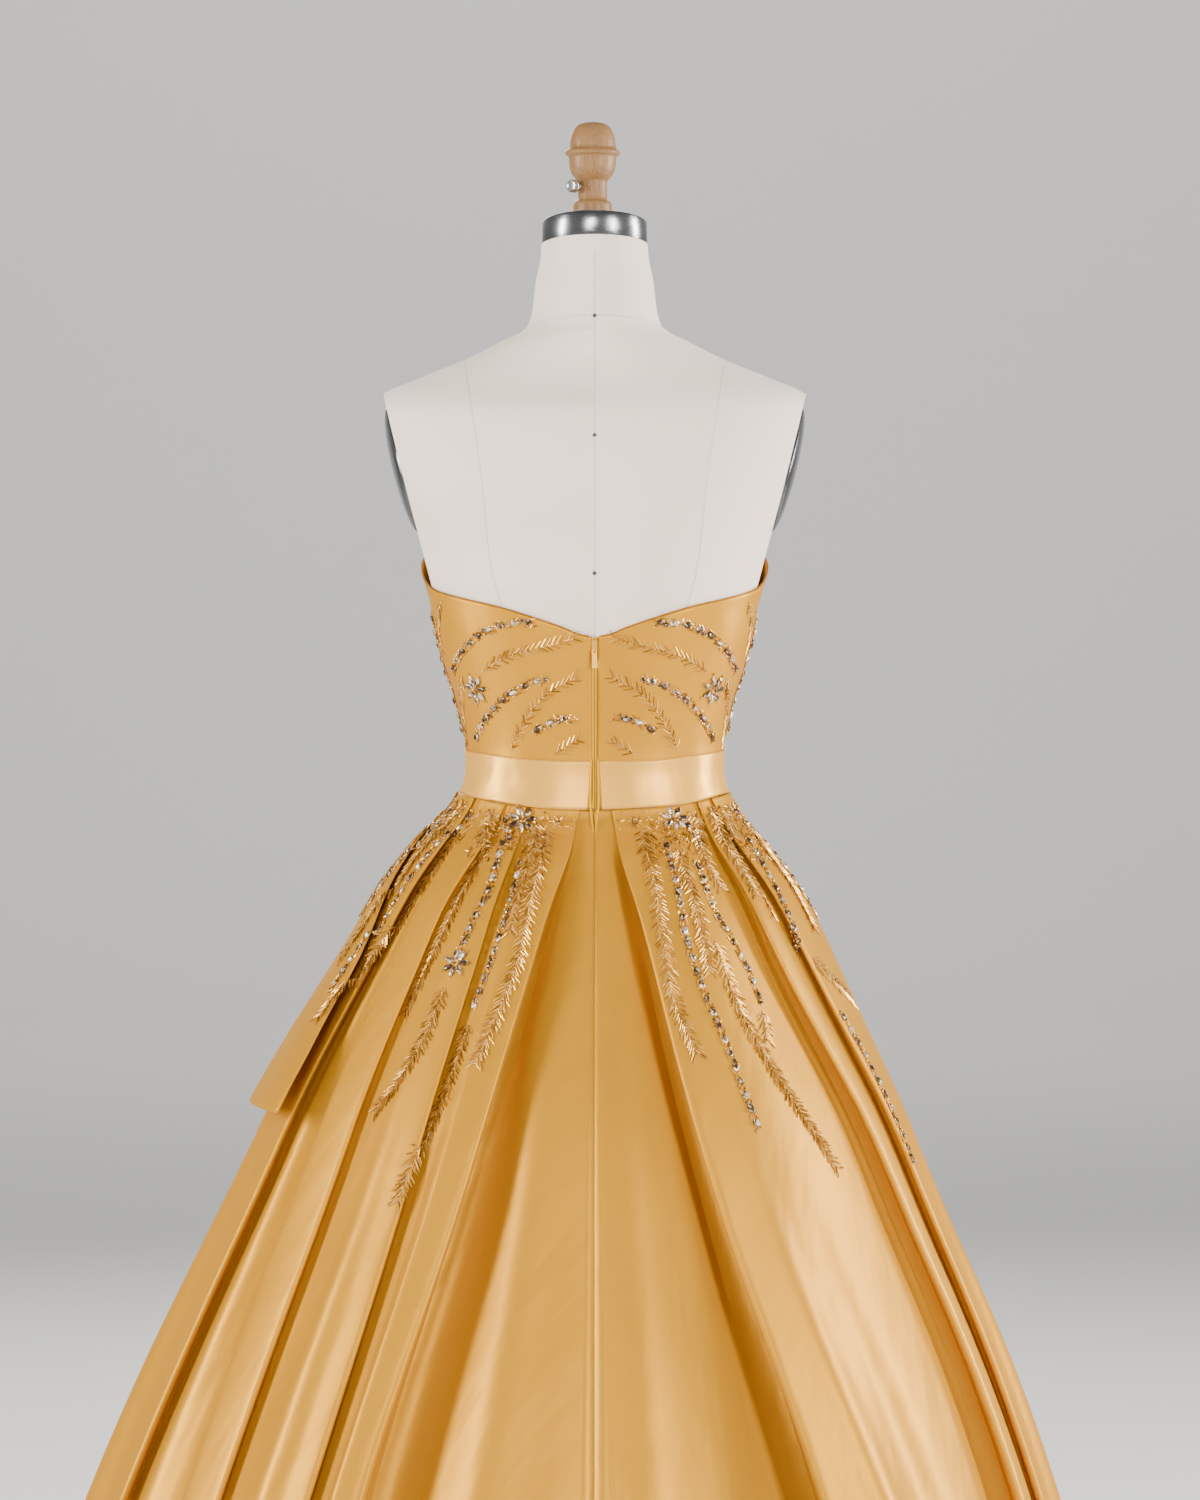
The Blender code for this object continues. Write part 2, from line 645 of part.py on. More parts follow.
ZIP_TOP = 1.2030
ZIP_FACE = BODICE_CLEARANCE + ZIP_WALL  # outer side of the zip's tape, out from the linen
SLIDER_HEIGHT = 1.1955
SLIDER_LENGTH, SLIDER_WIDTH, SLIDER_THICK = 0.0115, 0.0048, 0.0014
ARCH_RADIUS, ARCH_WIRE = 0.00125, 0.00040
HINGE_DROP = 0.0032  # below the slider's middle
TAB_LENGTH, TAB_WIDTH, TAB_THICK, TAB_WIRE = 0.0175, 0.0048, 0.0008, 0.00045


def slider_frame():
    """Place of the slider's middle on its inner face: +Z up along the back, -Y out of it."""
    point = on_torso(SLIDER_HEIGHT, 0.0, ZIP_FACE + 2 * GAP)
    return Matrix.Translation(point) @ Matrix.Rotation(-math.radians(back_slope(SLIDER_HEIGHT)), 4, "X")


def hinge_point():
    return slider_frame() @ Vector((0.0, -SLIDER_THICK - ARCH_WIRE * 2, -HINGE_DROP))


def build_zip(collection, tape, metal):
    rows = 12
    offset = BODICE_CLEARANCE + ZIP_WALL / 2
    bottom = seam_height(0.0) + GAP

    def place(column, row):
        z = bottom + (ZIP_TOP - bottom) * row / (rows - 1)
        point = on_torso(z, 0.0, offset)
        point.x = (column * 2 - 1) * ZIP_HALF_WIDTH
        return point

    sheet("zip_tape", 2, rows, place, ZIP_WALL, collection, tape)

    def body(bm):
        size = Matrix.Diagonal((SLIDER_WIDTH, SLIDER_THICK, SLIDER_LENGTH, 1.0))
        bmesh.ops.create_cube(bm, size=1.0, matrix=Matrix.Translation((0.0, -SLIDER_THICK / 2, 0.0)) @ size)
        upright = [edge for edge in bm.edges if abs(edge.verts[0].co.y - edge.verts[1].co.y) > 1e-5]
        bmesh.ops.bevel(bm, geom=upright, offset=0.0012, segments=2, profile=0.5, affect="EDGES")

    slider = add_object("zip_slider", mesh_from("zip_slider", body), collection, metal)
    slider.matrix_world = slider_frame()

    curve = bpy.data.curves.new("arch", "CURVE")
    curve.dimensions = "3D"
    spline = curve.splines.new("POLY")
    bends = 8
    reach = ARCH_WIRE * 2 + 0.0003
    points = [Vector((0.0, reach, ARCH_RADIUS))]
    for turn in (math.pi * bend / bends for bend in range(bends + 1)):
        points.append(Vector((0.0, -ARCH_RADIUS * math.sin(turn), ARCH_RADIUS * math.cos(turn))))
    points += [Vector((0.0, reach, -ARCH_RADIUS))]
    spline.points.add(len(points) - 1)
    for target, point in zip(spline.points, points):
        target.co = (*point, 1.0)
    curve.bevel_depth = ARCH_WIRE
    curve.bevel_resolution = 1
    curve.use_fill_caps = True
    cutters = bpy.data.collections["cutters"]
    arch_curve = bpy.data.objects.new("arch_curve", curve)
    cutters.objects.link(arch_curve)
    evaluated = arch_curve.evaluated_get(bpy.context.evaluated_depsgraph_get())
    mesh = bpy.data.meshes.new_from_object(evaluated)
    bm = bmesh.new()
    bm.from_mesh(mesh)
    bmesh.ops.remove_doubles(bm, verts=bm.verts[:], dist=1e-7)
    bm.to_mesh(mesh)
    bm.free()
    bpy.data.objects.remove(arch_curve)
    arch = add_object("cutter_slider_arch", mesh, cutters)
    arch.matrix_world = Matrix.Translation(hinge_point()) @ slider_frame().to_3x3().to_4x4()
    cut(slider, arch, "UNION")

    build_tab(collection, metal)


def build_tab(collection, metal):
    """Flat tab that hangs upright from the slider's arch, with a window that the arch runs through."""
    window_width, window_length = 0.0022, 0.0026

    def outline(bm):
        size = Matrix.Diagonal((TAB_WIDTH, TAB_THICK, TAB_LENGTH, 1.0))
        middle = Matrix.Translation((0.0, 0.0, TAB_WIRE - TAB_LENGTH / 2))
        bmesh.ops.create_cube(bm, size=1.0, matrix=middle @ size)
        corners = [edge for edge in bm.edges if abs(edge.verts[0].co.y - edge.verts[1].co.y) > 1e-5]
        bmesh.ops.bevel(bm, geom=corners, offset=0.0009, segments=2, profile=0.5, affect="EDGES")

    def window(bm):
        size = Matrix.Diagonal((window_width, 0.004, window_length, 1.0))
        middle = Matrix.Translation((0.0, 0.0, -TAB_WIRE - window_length / 2))
        bmesh.ops.create_cube(bm, size=1.0, matrix=middle @ size)

    tab = add_object("zip_pull", mesh_from("zip_pull", outline), collection, metal)
    tab.location = hinge_point()
    cutter = add_object("cutter_tab_window", mesh_from("cutter_tab_window", window),
                        bpy.data.collections["cutters"])
    cutter.location = tab.location
    cut(tab, cutter)


# Skirt

def build_skirt(collection, satin):
    grid = []
    for drop in SKIRT_ROWS:
        columns, seams = skirt_columns(drop)
        grid.append([on_skirt(drop, angle, -inset)[0] for angle, inset in columns])
    # Columns are shared by a panel up to each seam; the ring closes at the seam of the centre front
    names = {0: "skirt_front_left", 1: "skirt_back_left", 2: "skirt_back_right", 3: "skirt_front_right"}
    total = len(grid[0])
    bounds = [seams[-1] + 1 - total] + [seam + 1 for seam in seams]
    for number, name in names.items():
        first, last = bounds[number], bounds[number + 1] - 1
        count = last - first + 1

        def place(column, row, first=first, count=count):
            line = grid[len(SKIRT_ROWS) - 1 - row]
            point = line[(first + column) % total]
            if column == 0:
                towards = line[(first + 1) % total] - point
                point = point + GAP / 2 * towards.normalized()
            if column == count - 1:
                towards = line[(first + column - 1) % total] - point
                point = point + GAP / 2 * towards.normalized()
            return point

        sheet(name, count, len(SKIRT_ROWS), place, SKIRT_WALL, collection, satin)


def build_side_panel(collection, satin):
    """Loose panel from the waist seam, standing further off the skirt towards its lower edge."""
    drops = [row[0] for row in PANEL_ROWS]

    def place(column, row):
        drop = drops[len(drops) - 1 - row]
        back_edge, front_edge, distance = panel_row(drop)
        share = 1 - column / (PANEL_COLUMNS - 1)
        angle = back_edge + (front_edge - back_edge) * share
        fall = drop / drops[-1]
        curl = PANEL_EDGE_CURL * ease(1 - share / 0.22) * ease((fall - 0.5) / 0.5)
        wave = 0.004 * fall * math.sin(2.5 * math.pi * share)
        return on_skirt(drop, angle, distance + curl + wave)[0]

    sheet("side_panel", PANEL_COLUMNS, len(drops), place, SKIRT_WALL, collection, satin)


def clear_scene():
    for old in list(bpy.data.objects):
        bpy.data.objects.remove(old, do_unlink=True)


def build():
    clear_scene()
    gown = bpy.data.collections.new("evening_gown")
    cutters = bpy.data.collections.new("cutters")
    for made in (gown, cutters):
        bpy.context.scene.collection.children.link(made)
    satin = material("gold_satin", (0.72, 0.42, 0.13), 0.42)
    ribbon = material("peach_ribbon", (0.86, 0.58, 0.30), 0.36)
    linen = material("white_linen", (0.80, 0.77, 0.73), 0.85)
    steel = material("brushed_steel", (0.55, 0.56, 0.58), 0.30, 1.0)
    wood = material("turned_wood", (0.62, 0.40, 0.20), 0.45)
    iron = material("cast_iron", (0.05, 0.05, 0.055), 0.55, 0.6)
    zip_tape = material("zip_tape", (0.70, 0.42, 0.10), 0.60)
    zip_metal = material("zip_metal", (0.80, 0.55, 0.25), 0.30, 1.0)
    build_torso(gown, linen)
    build_neck(gown, steel, wood)
    build_thumb_screw(gown, steel)
    build_arm_plates(gown, steel)
    build_stand(gown, iron, steel)
    build_bodice(gown, satin)
    build_waistband(gown, ribbon)
    build_zip(gown, zip_tape, zip_metal)
    build_skirt(gown, satin)
    build_side_panel(gown, satin)


build()
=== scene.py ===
"""Looks of a strapless satin ball gown on a limbless linen dress form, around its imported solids.

Metres, +Z up, origin on the floor on the pole's axis. The gown's back faces -Y. An angle round the body is
in degrees from the centre back, positive towards +X. A drop is measured down from the waist seam.
"""

import math

import bmesh
import bpy
import numpy as np
from mathutils import Matrix, Vector
from mathutils.bvhtree import BVHTree


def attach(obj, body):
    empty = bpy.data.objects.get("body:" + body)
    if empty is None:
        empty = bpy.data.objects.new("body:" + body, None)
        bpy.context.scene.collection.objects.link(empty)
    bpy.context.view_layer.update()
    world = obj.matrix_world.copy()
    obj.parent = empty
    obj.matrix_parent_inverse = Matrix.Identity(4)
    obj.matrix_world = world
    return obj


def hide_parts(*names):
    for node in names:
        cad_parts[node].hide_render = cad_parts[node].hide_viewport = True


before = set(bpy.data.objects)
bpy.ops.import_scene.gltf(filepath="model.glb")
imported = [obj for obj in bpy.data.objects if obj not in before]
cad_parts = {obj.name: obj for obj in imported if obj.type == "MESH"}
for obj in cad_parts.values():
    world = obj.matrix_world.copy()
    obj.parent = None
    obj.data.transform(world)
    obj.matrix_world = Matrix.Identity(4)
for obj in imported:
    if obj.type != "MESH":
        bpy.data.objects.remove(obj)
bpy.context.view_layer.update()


# Studio and camera
# A round cove of pale paper. Tall strip lights stand round the gown, a small one aims at its bodice, and
# one more lights the paper behind it. The camera stands behind the wearer, level with the chest.

CAMERA_PLACE, CAMERA_TARGET = Vector((0.005, -4.5, 1.200)), Vector((0.005, 0.0, 1.098))
FOCAL_LENGTH, SENSOR = 115.6, 36.0
COVE_RADIUS, COVE_CORNER, COVE_HEIGHT = 14.0, 3.0, 9.0
PAPER_COLOUR, PAPER_GRAIN = (0.84, 0.83, 0.82), (0.70, 0.69, 0.68)
SKY_COLOUR, SKY_STRENGTH = (0.95, 0.97, 1.0), 0.26
WARM_LIGHT, PLAIN_LIGHT = (1.0, 0.98, 0.95), (1.0, 0.99, 0.97)
# Place, aim, width and height, power in watts, spread in degrees, colour
LIGHTS = (
    ("near_left", (-0.75, -3.9, 1.8), (0.0, 0.0, 1.0), (0.6, 1.4), 76.0, 180.0, WARM_LIGHT),
    ("bodice_light", (-0.4, -3.7, 2.3), (0.0, 0.0, 1.42), (0.5, 0.5), 1.7, 36.0, WARM_LIGHT),
    ("left", (-3.6, -1.0, 1.6), (0.0, 0.0, 1.0), (0.6, 1.8), 225.0, 180.0, WARM_LIGHT),
    ("right", (2.6, -3.1, 1.8), (0.0, 0.0, 1.0), (0.7, 1.8), 190.0, 180.0, WARM_LIGHT),
    ("far_right", (3.6, 0.6, 1.6), (0.0, 0.0, 1.0), (0.6, 1.8), 235.0, 180.0, WARM_LIGHT),
    ("front", (-0.6, 3.8, 2.8), (0.0, 0.0, 0.9), (2.2, 1.4), 90.0, 180.0, WARM_LIGHT),
    ("top", (0.2, -0.6, 4.3), (0.0, 0.0, 1.0), (1.4, 1.4), 18.0, 180.0, PLAIN_LIGHT),
    ("paper_light", (0.0, 8.0, 6.5), (0.0, 14.0, 1.5), (4.0, 1.5), 260.0, 180.0, PLAIN_LIGHT),
)


class Value:
    """A node's output used in arithmetic: each operator adds the Math node that it stands for."""

    def __init__(self, finish, socket):
        self.finish, self.socket = finish, socket

    def maths(self, operation, other):
        return self.finish.node("ShaderNodeMath", {"operation": operation}, {0: self, 1: other})

    def __add__(self, other):
        return self.maths("ADD", other)

    def __mul__(self, other):
        return self.maths("MULTIPLY", other)

    __radd__, __rmul__ = __add__, __mul__


class Finish:
    """One material: what is the same all over is set on the shader's sockets, and nodes give the rest."""

    def __init__(self, name, colour, roughness, constants=None):
        self.material = bpy.data.materials.new(name)
        self.material.use_nodes = True
        self.tree = self.material.node_tree
        self.shader = self.tree.nodes["Principled BSDF"]
        values = {"Base Color": (*colour, 1.0), "Roughness": roughness, **(constants or {})}
        for socket, value in values.items():
            self.shader.inputs[socket].default_value = value
        self.material.diffuse_color = (*colour, 1.0)

    def node(self, kind, settings, inputs, output=0):
        """Add a node of a kind, its settings first, then numbers or values for its inputs."""
        made = self.tree.nodes.new(kind)
        for name, value in settings.items():
            setattr(made, name, value)
        for socket, value in inputs.items():
            if isinstance(value, Value):
                self.tree.links.new(value.socket, made.inputs[socket])
            else:
                made.inputs[socket].default_value = value
        return Value(self, made.outputs[output])

    def connect(self, socket, value):
        self.tree.links.new(value.socket, self.shader.inputs[socket])

    def place(self, scale=(1.0, 1.0, 1.0), turn=(0.0, 0.0, 0.0)):
        """Object coordinates, stretched and turned."""
        spot = self.node("ShaderNodeTexCoord", {}, {}, output="Object")
        return self.node("ShaderNodeMapping", {}, {"Vector": spot, "Scale": scale, "Rotation": turn})

    def cloth_place(self, scale=(1.0, 1.0, 1.0)):
        """Metres across and along the cloth, stretched."""
        spot = self.node("ShaderNodeUVMap", {"uv_map": "weave"}, {})
        return self.node("ShaderNodeMapping", {}, {"Vector": spot, "Scale": scale})

    def noise(self, place, scale, detail=2.0):
        return self.node("ShaderNodeTexNoise", {}, {"Vector": place, "Scale": scale, "Detail": detail})

    def wave(self, place, scale, direction="X", distortion=0.0):
        settings = {"wave_type": "BANDS", "bands_direction": direction}
        inputs = {"Vector": place, "Scale": scale, "Distortion": distortion}
        return self.node("ShaderNodeTexWave", settings, inputs, output=1)

    def mix(self, share, first, second):
        """Two colours mixed: sockets 6 and 7 and output 2 are the node's colour ones."""
        inputs = {0: share}
        for socket, colour in ((6, first), (7, second)):
            inputs[socket] = colour if isinstance(colour, Value) else (*colour, 1.0)
        return self.node("ShaderNodeMix", {"data_type": "RGBA"}, inputs, output=2)

    def spread(self, value, low, high):
        """A value between low and high stretched to 0 to 1."""
        return self.node("ShaderNodeMapRange", {}, {"Value": value, "From Min": low, "From Max": high})

    def bump(self, height, distance):
        self.connect("Normal", self.node("ShaderNodeBump", {}, {"Height": height, "Distance": distance}))


def turned_mesh(name, profile, steps):
    """Closed round mesh about Z from a profile of radius and height."""
    bm = bmesh.new()
    verts = [bm.verts.new((radius, 0.0, z)) for radius, z in profile]
    edges = [bm.edges.new(pair) for pair in zip(verts, verts[1:])]
    bmesh.ops.spin(bm, geom=verts + edges, cent=(0, 0, 0), axis=(0, 0, 1), angle=2 * math.pi, steps=steps,
                   use_merge=True)
    bmesh.ops.remove_doubles(bm, verts=bm.verts[:], dist=1e-6)
    bmesh.ops.recalc_face_normals(bm, faces=bm.faces[:])
    mesh = bpy.data.meshes.new(name)
    bm.to_mesh(mesh)
    bm.free()
    mesh.shade_smooth()
    mesh.set_sharp_from_angle(angle=math.radians(50))
    return mesh


def add_object(name, data):
    made = bpy.data.objects.new(name, data)
    bpy.context.scene.collection.objects.link(made)
    return made


def set_finish(mesh, finish):
    mesh.materials.clear()
    mesh.materials.append(finish.material)


paper = Finish("pale_paper", PAPER_COLOUR, 0.9)
grain = paper.noise(paper.place(), 60.0, 4.0)
paper.connect("Base Color", paper.mix(grain * 0.06, PAPER_COLOUR, PAPER_GRAIN))
bend = [(COVE_RADIUS - COVE_CORNER * (1 - math.sin(turn)), COVE_CORNER * (1 - math.cos(turn)))
        for turn in (math.radians(10 * step) for step in range(10))]
cove = add_object("cove", turned_mesh("cove", [(0.0, 0.0), *bend, (COVE_RADIUS, COVE_HEIGHT)], 96))
cove.data.flip_normals()
set_finish(cove.data, paper)

for name, place, aim, (width, height), power, spread, colour in LIGHTS:
    light = bpy.data.lights.new(name, "AREA")
    light.shape, light.size, light.size_y = "RECTANGLE", width, height
    light.energy, light.color, light.spread = power, colour, math.radians(spread)
    strip = add_object(name, light)
    strip.location = place
    strip.rotation_euler = (Vector(aim) - Vector(place)).to_track_quat("-Z", "Y").to_euler()

world = bpy.data.worlds.new("sky")
world.use_nodes = True
glow = world.node_tree.nodes["Background"]
glow.inputs["Color"].default_value = (*SKY_COLOUR, 1.0)
glow.inputs["Strength"].default_value = SKY_STRENGTH
bpy.context.scene.world = world

lens = bpy.data.cameras.new("camera")
lens.lens, lens.sensor_width = FOCAL_LENGTH, SENSOR
camera = add_object("camera", lens)
camera.location = CAMERA_PLACE
camera.rotation_euler = (CAMERA_TARGET - CAMERA_PLACE).to_track_quat("-Z", "Y").to_euler()
bpy.context.scene.camera = camera


# Stand
# A heavy round foot of cast iron, painted black, and a steel pole screwed into it. The long skirt hides
# both, so their solids stay as they are.

IRON_COLOUR = (0.028, 0.028, 0.031)
POLE_COLOUR, POLE_SHADE = (0.56, 0.57, 0.59), (0.36, 0.37, 0.39)

iron = Finish("black_cast_iron", IRON_COLOUR, 0.5, {"Metallic": 0.35, "Coat Weight": 0.15})
sand = iron.noise(iron.place(), 900.0, 4.0)
iron.connect("Roughness", 0.42 + sand * 0.25)
iron.bump(sand, 0.0004)

drawn = Finish("drawn_steel", POLE_COLOUR, 0.28, {"Metallic": 1.0, "Anisotropic": 0.4})
streaks = drawn.noise(drawn.place(scale=(60.0, 60.0, 1.5)), 40.0, 3.0)
drawn.connect("Roughness", 0.2 + streaks * 0.2)
drawn.connect("Base Color", drawn.mix(streaks * 0.4, POLE_COLOUR, POLE_SHADE))

for node, finish in (("stand_base", iron), ("stand_pole", drawn)):
    set_finish(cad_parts[node].data, finish)


# Linen torso
# A firm padded torso, cut flat at the armholes and across the neck, covered in plain white linen that is
# sewn from long panels. Small black tacks mark points on the centre back.

# Height, half width, depth behind the axis, depth in front, roundness exponent
TORSO_SECTIONS = (
    (0.840, 0.1700, 0.0990, 0.0910, 0.92),
    (0.862, 0.1780, 0.1060, 0.0980, 0.92),
    (0.905, 0.1755, 0.1120, 0.1040, 0.92),
    (0.950, 0.1660, 0.1120, 0.1040, 0.92),
    (1.000, 0.1490, 0.1030, 0.1000, 0.92),
    (1.030, 0.1365, 0.0960, 0.0965, 0.92),
    (1.060, 0.1218, 0.0910, 0.0920, 0.92),
    (1.080, 0.1168, 0.0895, 0.0895, 0.92),
    (1.100, 0.1176, 0.0905, 0.0890, 0.92),
    (1.120, 0.1212, 0.0935, 0.0905, 0.92),
    (1.145, 0.1270, 0.0975, 0.0935, 0.91),
    (1.170, 0.1352, 0.1015, 0.0975, 0.90),
    (1.205, 0.1452, 0.1065, 0.1030, 0.90),
    (1.232, 0.1505, 0.1095, 0.1065, 0.90),
    (1.260, 0.1580, 0.1115, 0.1080, 0.89),
    (1.290, 0.1690, 0.1120, 0.1070, 0.88),
    (1.325, 0.1870, 0.1105, 0.1025, 0.86),
    (1.360, 0.1980, 0.1060, 0.0960, 0.85),
    (1.390, 0.2040, 0.0985, 0.0885, 0.85),
    (1.414, 0.2060, 0.0890, 0.0790, 0.85),
    (1.429, 0.1985, 0.0780, 0.0690, 0.86),
    (1.441, 0.1724, 0.0670, 0.0600, 0.88),
    (1.464, 0.1164, 0.0575, 0.0540, 0.93),
    (1.480, 0.0850, 0.0545, 0.0545, 0.97),
    (1.4906, 0.0640, 0.0525, 0.0560, 1.00),
    (1.506, 0.0584, 0.0500, 0.0570, 1.00),
    (1.535, 0.0548, 0.0450, 0.0580, 1.00),
    (1.562, 0.0498, 0.0418, 0.0578, 1.00),
    (1.600, 0.0488, 0.0408, 0.0568, 1.00),
)
TORSO_COLUMNS, TORSO_RINGS = 128, 120
BUST_ANGLE, BUST_HEIGHT, BUST_RISE, BUST_SPREAD, BUST_TALL = 29.0, 1.238, 0.022, 21.0, 0.050
ARMHOLE_TOP, ARMHOLE_BOTTOM = (0.1960, 1.4290), (0.1580, 1.2780)
NECK_CENTRE, NECK_TILT = Vector((0.0, 0.008, 1.567)), 10.0
NECK_AXIS = Vector((0.0, math.sin(math.radians(NECK_TILT)), math.cos(math.radians(NECK_TILT))))
LINEN_COLOUR, LINEN_SHADE = (0.90, 0.755, 0.630), (0.81, 0.665, 0.540)
# Seam cords are darker than the linen: painted shade of the sunken seam grooves, with a random thread texture
SEAM_PAINTED_SHADE, SEAM_DEEPER_PAINTED_SHADE = (0.60, 0.56, 0.52), (0.42, 0.39, 0.36)
TACK_COLOUR = (0.02, 0.018, 0.016)
SEAM_RADIUS, SEAM_SUNK = 0.00045, 0.0001
NECK_SEAM_HEIGHT, NECK_SEAM_RISE = 1.4890, 0.0115
CENTRE_SEAM_TOP, SHOULDER_SEAM_TOP = 1.5600, 1.4905
# Long panel seams: height, distance from the centre
PANEL_SEAM = (
    (1.4597, 0.121),
    (1.4100, 0.112),
    (1.3382, 0.102),
    (1.2775, 0.096),
    (1.2000, 0.076),
    (1.1000, 0.048),
)
TACK_HEIGHTS, TACK_RADIUS, TACK_PROUD, TACK_FLATNESS = (1.4999, 1.3878, 1.2616), 0.0019, 0.0002, 0.5


def smooth_table(rows):
    """Function that reads a table at any value of its first column, with no overshoot."""
    data = np.array(rows, float)
    at, values = data[:, 0], data[:, 1:]
    slopes = np.diff(values, axis=0) / np.diff(at)[:, None]
    tangents = np.vstack([slopes[:1], np.zeros_like(slopes[1:]), slopes[-1:]])
    rising = slopes[1:] * slopes[:-1] > 0
    both = np.where(rising, slopes[1:] + slopes[:-1], 1.0)
    tangents[1:-1] = np.where(rising, 2 * slopes[1:] * slopes[:-1] / both, 0.0)

    def read(x):
        x = min(max(x, at[0]), at[-1])
        i = min(int(np.searchsorted(at, x, side="right")) - 1, len(at) - 2)
        span = at[i + 1] - at[i]
        s = (x - at[i]) / span
        ends = (1 + 2 * s) * (1 - s) ** 2 * values[i] + s * s * (3 - 2 * s) * values[i + 1]
        curve = ends + span * s * (1 - s) * ((1 - s) * tangents[i] - s * tangents[i + 1])
        return curve.tolist()

    return read


def ease(x):
    """0 below 0, 1 above 1, smooth between."""
    x = min(max(x, 0.0), 1.0)
    return x * x * (3 - 2 * x)


def signed_power(value, exponent):
    return math.copysign(abs(value) ** exponent, value)


torso_section = smooth_table(TORSO_SECTIONS)


def torso_ring(z, angle, rise=BUST_RISE):
    half, back, front, roundness = torso_section(z)
    turn = math.radians(angle)
    depth = back if math.cos(turn) > 0 else front
    point = Vector((half * signed_power(math.sin(turn), roundness),
                    -depth * signed_power(math.cos(turn), roundness)))
    for side in (-1, 1):
        away = (angle - 180.0 + side * BUST_ANGLE + 180.0) % 360.0 - 180.0
        bump = math.exp(-(away / BUST_SPREAD) ** 2 - ((z - BUST_HEIGHT) / BUST_TALL) ** 2)
        point += rise * bump * point.normalized()
    return point


def outwards(ring, angle, distance):
    """Point of a ring moved out along its normal, and the ring's metres for each degree there."""
    step = 1.0
    along = (ring(angle + step) - ring(angle - step)) / (2 * step)
    normal = Vector((along.y, -along.x)).normalized()
    return ring(angle) + distance * normal, along.length


def on_torso(z, angle, distance, rise=BUST_RISE):
    point, _ = outwards(lambda a: torso_ring(z, a, rise), angle, distance)
    return Vector((point.x, point.y, z))


def woven_bmesh(grid):
    """Grid of points as a bmesh, with a UV map in metres across and along the cloth."""
    points = np.array([[tuple(point) for point in line] for line in grid])
    rows, columns = points.shape[:2]
    across, along = np.zeros((rows, columns)), np.zeros((rows, columns))
    across[:, 1:] = np.cumsum(np.linalg.norm(np.diff(points, axis=1), axis=2), axis=1)
    along[1:] = np.cumsum(np.linalg.norm(np.diff(points, axis=0), axis=2), axis=0)
    bm = bmesh.new()
    weave = bm.loops.layers.uv.new("weave")
    bmesh.ops.create_grid(bm, x_segments=columns - 1, y_segments=rows - 1, size=1.0)
    spots = {}
    for vert in bm.verts:
        spots[vert] = round((vert.co.y + 1) / 2 * (rows - 1)), round((vert.co.x + 1) / 2 * (columns - 1))
    for face in bm.faces:
        for loop in face.loops:
            loop[weave].uv = across[spots[loop.vert]], along[spots[loop.vert]]
    for vert, spot in spots.items():
        vert.co = points[spot]
    return bm


def finish_mesh(name, bm, sharp=60.0):
    mesh = bpy.data.meshes.new(name)
    bm.to_mesh(mesh)
    bm.free()
    mesh.shade_smooth()
    mesh.set_sharp_from_angle(angle=math.radians(sharp))
    return mesh


def add_piece(name, mesh, finish, slot, *replaced, body="root"):
    """Put a finished mesh in the scene: it rides on a body and stands for the named solids."""
    piece = add_object(name, mesh)
    set_finish(mesh, finish)
    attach(piece, body)
    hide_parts(*replaced)
    return piece


def slice_off(bm, point, normal):
    """Remove what lies beyond a plane and close the cut."""
    everything = bm.verts[:] + bm.edges[:] + bm.faces[:]
    bmesh.ops.bisect_plane(bm, geom=everything, dist=1e-6, plane_co=point, plane_no=normal, clear_outer=True)
    bmesh.ops.holes_fill(bm, edges=[edge for edge in bm.edges if edge.is_boundary], sides=0)


def armhole_plane(side):
    top = Vector((side * ARMHOLE_TOP[0], 0.0, ARMHOLE_TOP[1]))
    run = top - Vector((side * ARMHOLE_BOTTOM[0], 0.0, ARMHOLE_BOTTOM[1]))
    return top, Vector((side * run.z, 0.0, -side * run.x)).normalized()


def tube_mesh(name, lines, radius, roundness=2):
    """Round cords through lines of points, as one closed mesh."""
    curve = bpy.data.curves.new(name, "CURVE")
    curve.dimensions, curve.use_fill_caps = "3D", True
    curve.bevel_depth, curve.bevel_resolution = radius, roundness
    for line in lines:
        spline = curve.splines.new("POLY")
        spline.points.add(len(line) - 1)
        for target, point in zip(spline.points, line):
            target.co = (*point, 1.0)
    holder = add_object(name, curve)
    mesh = bpy.data.meshes.new_from_object(holder.evaluated_get(bpy.context.evaluated_depsgraph_get()))
    bpy.data.objects.remove(holder)
    mesh.name = name
    mesh.shade_smooth()
    return mesh


linen = Finish("white_linen", LINEN_COLOUR, 0.85, {"Sheen Weight": 0.15, "Sheen Roughness": 0.6})
warp = linen.wave(linen.cloth_place(), 620.0, "X", 1.5)
weft = linen.wave(linen.cloth_place(), 620.0, "Y", 1.5)
slubs = linen.noise(linen.cloth_place(scale=(1.0, 9.0, 1.0)), 260.0, 3.0)
age = linen.noise(linen.place(), 9.0, 3.0)
tone = linen.mix(linen.spread(slubs, 0.35, 0.75) * 0.25 + age * 0.2, LINEN_COLOUR, LINEN_SHADE)
linen.connect("Base Color", tone)
linen.bump(warp * 0.5 + weft * 0.5 + slubs * 0.8, 0.00018)

rings = []
lowest, highest = TORSO_SECTIONS[0][0], TORSO_SECTIONS[-1][0]
for ring in range(TORSO_RINGS + 1):
    z = lowest + (highest - lowest) * ring / TORSO_RINGS
    rings.append([(*torso_ring(z, 360.0 * (column % TORSO_COLUMNS) / TORSO_COLUMNS), z)
                  for column in range(TORSO_COLUMNS + 1)])
bm = woven_bmesh(rings)
bmesh.ops.remove_doubles(bm, verts=bm.verts[:], dist=1e-6)
bmesh.ops.holes_fill(bm, edges=[edge for edge in bm.edges if edge.is_boundary], sides=0)
slice_off(bm, NECK_CENTRE, NECK_AXIS)
for side in (-1, 1):
    slice_off(bm, *armhole_plane(side))
add_piece("linen_torso", finish_mesh("linen_torso", bm, 35.0), linen, "white_linen", "form_torso")


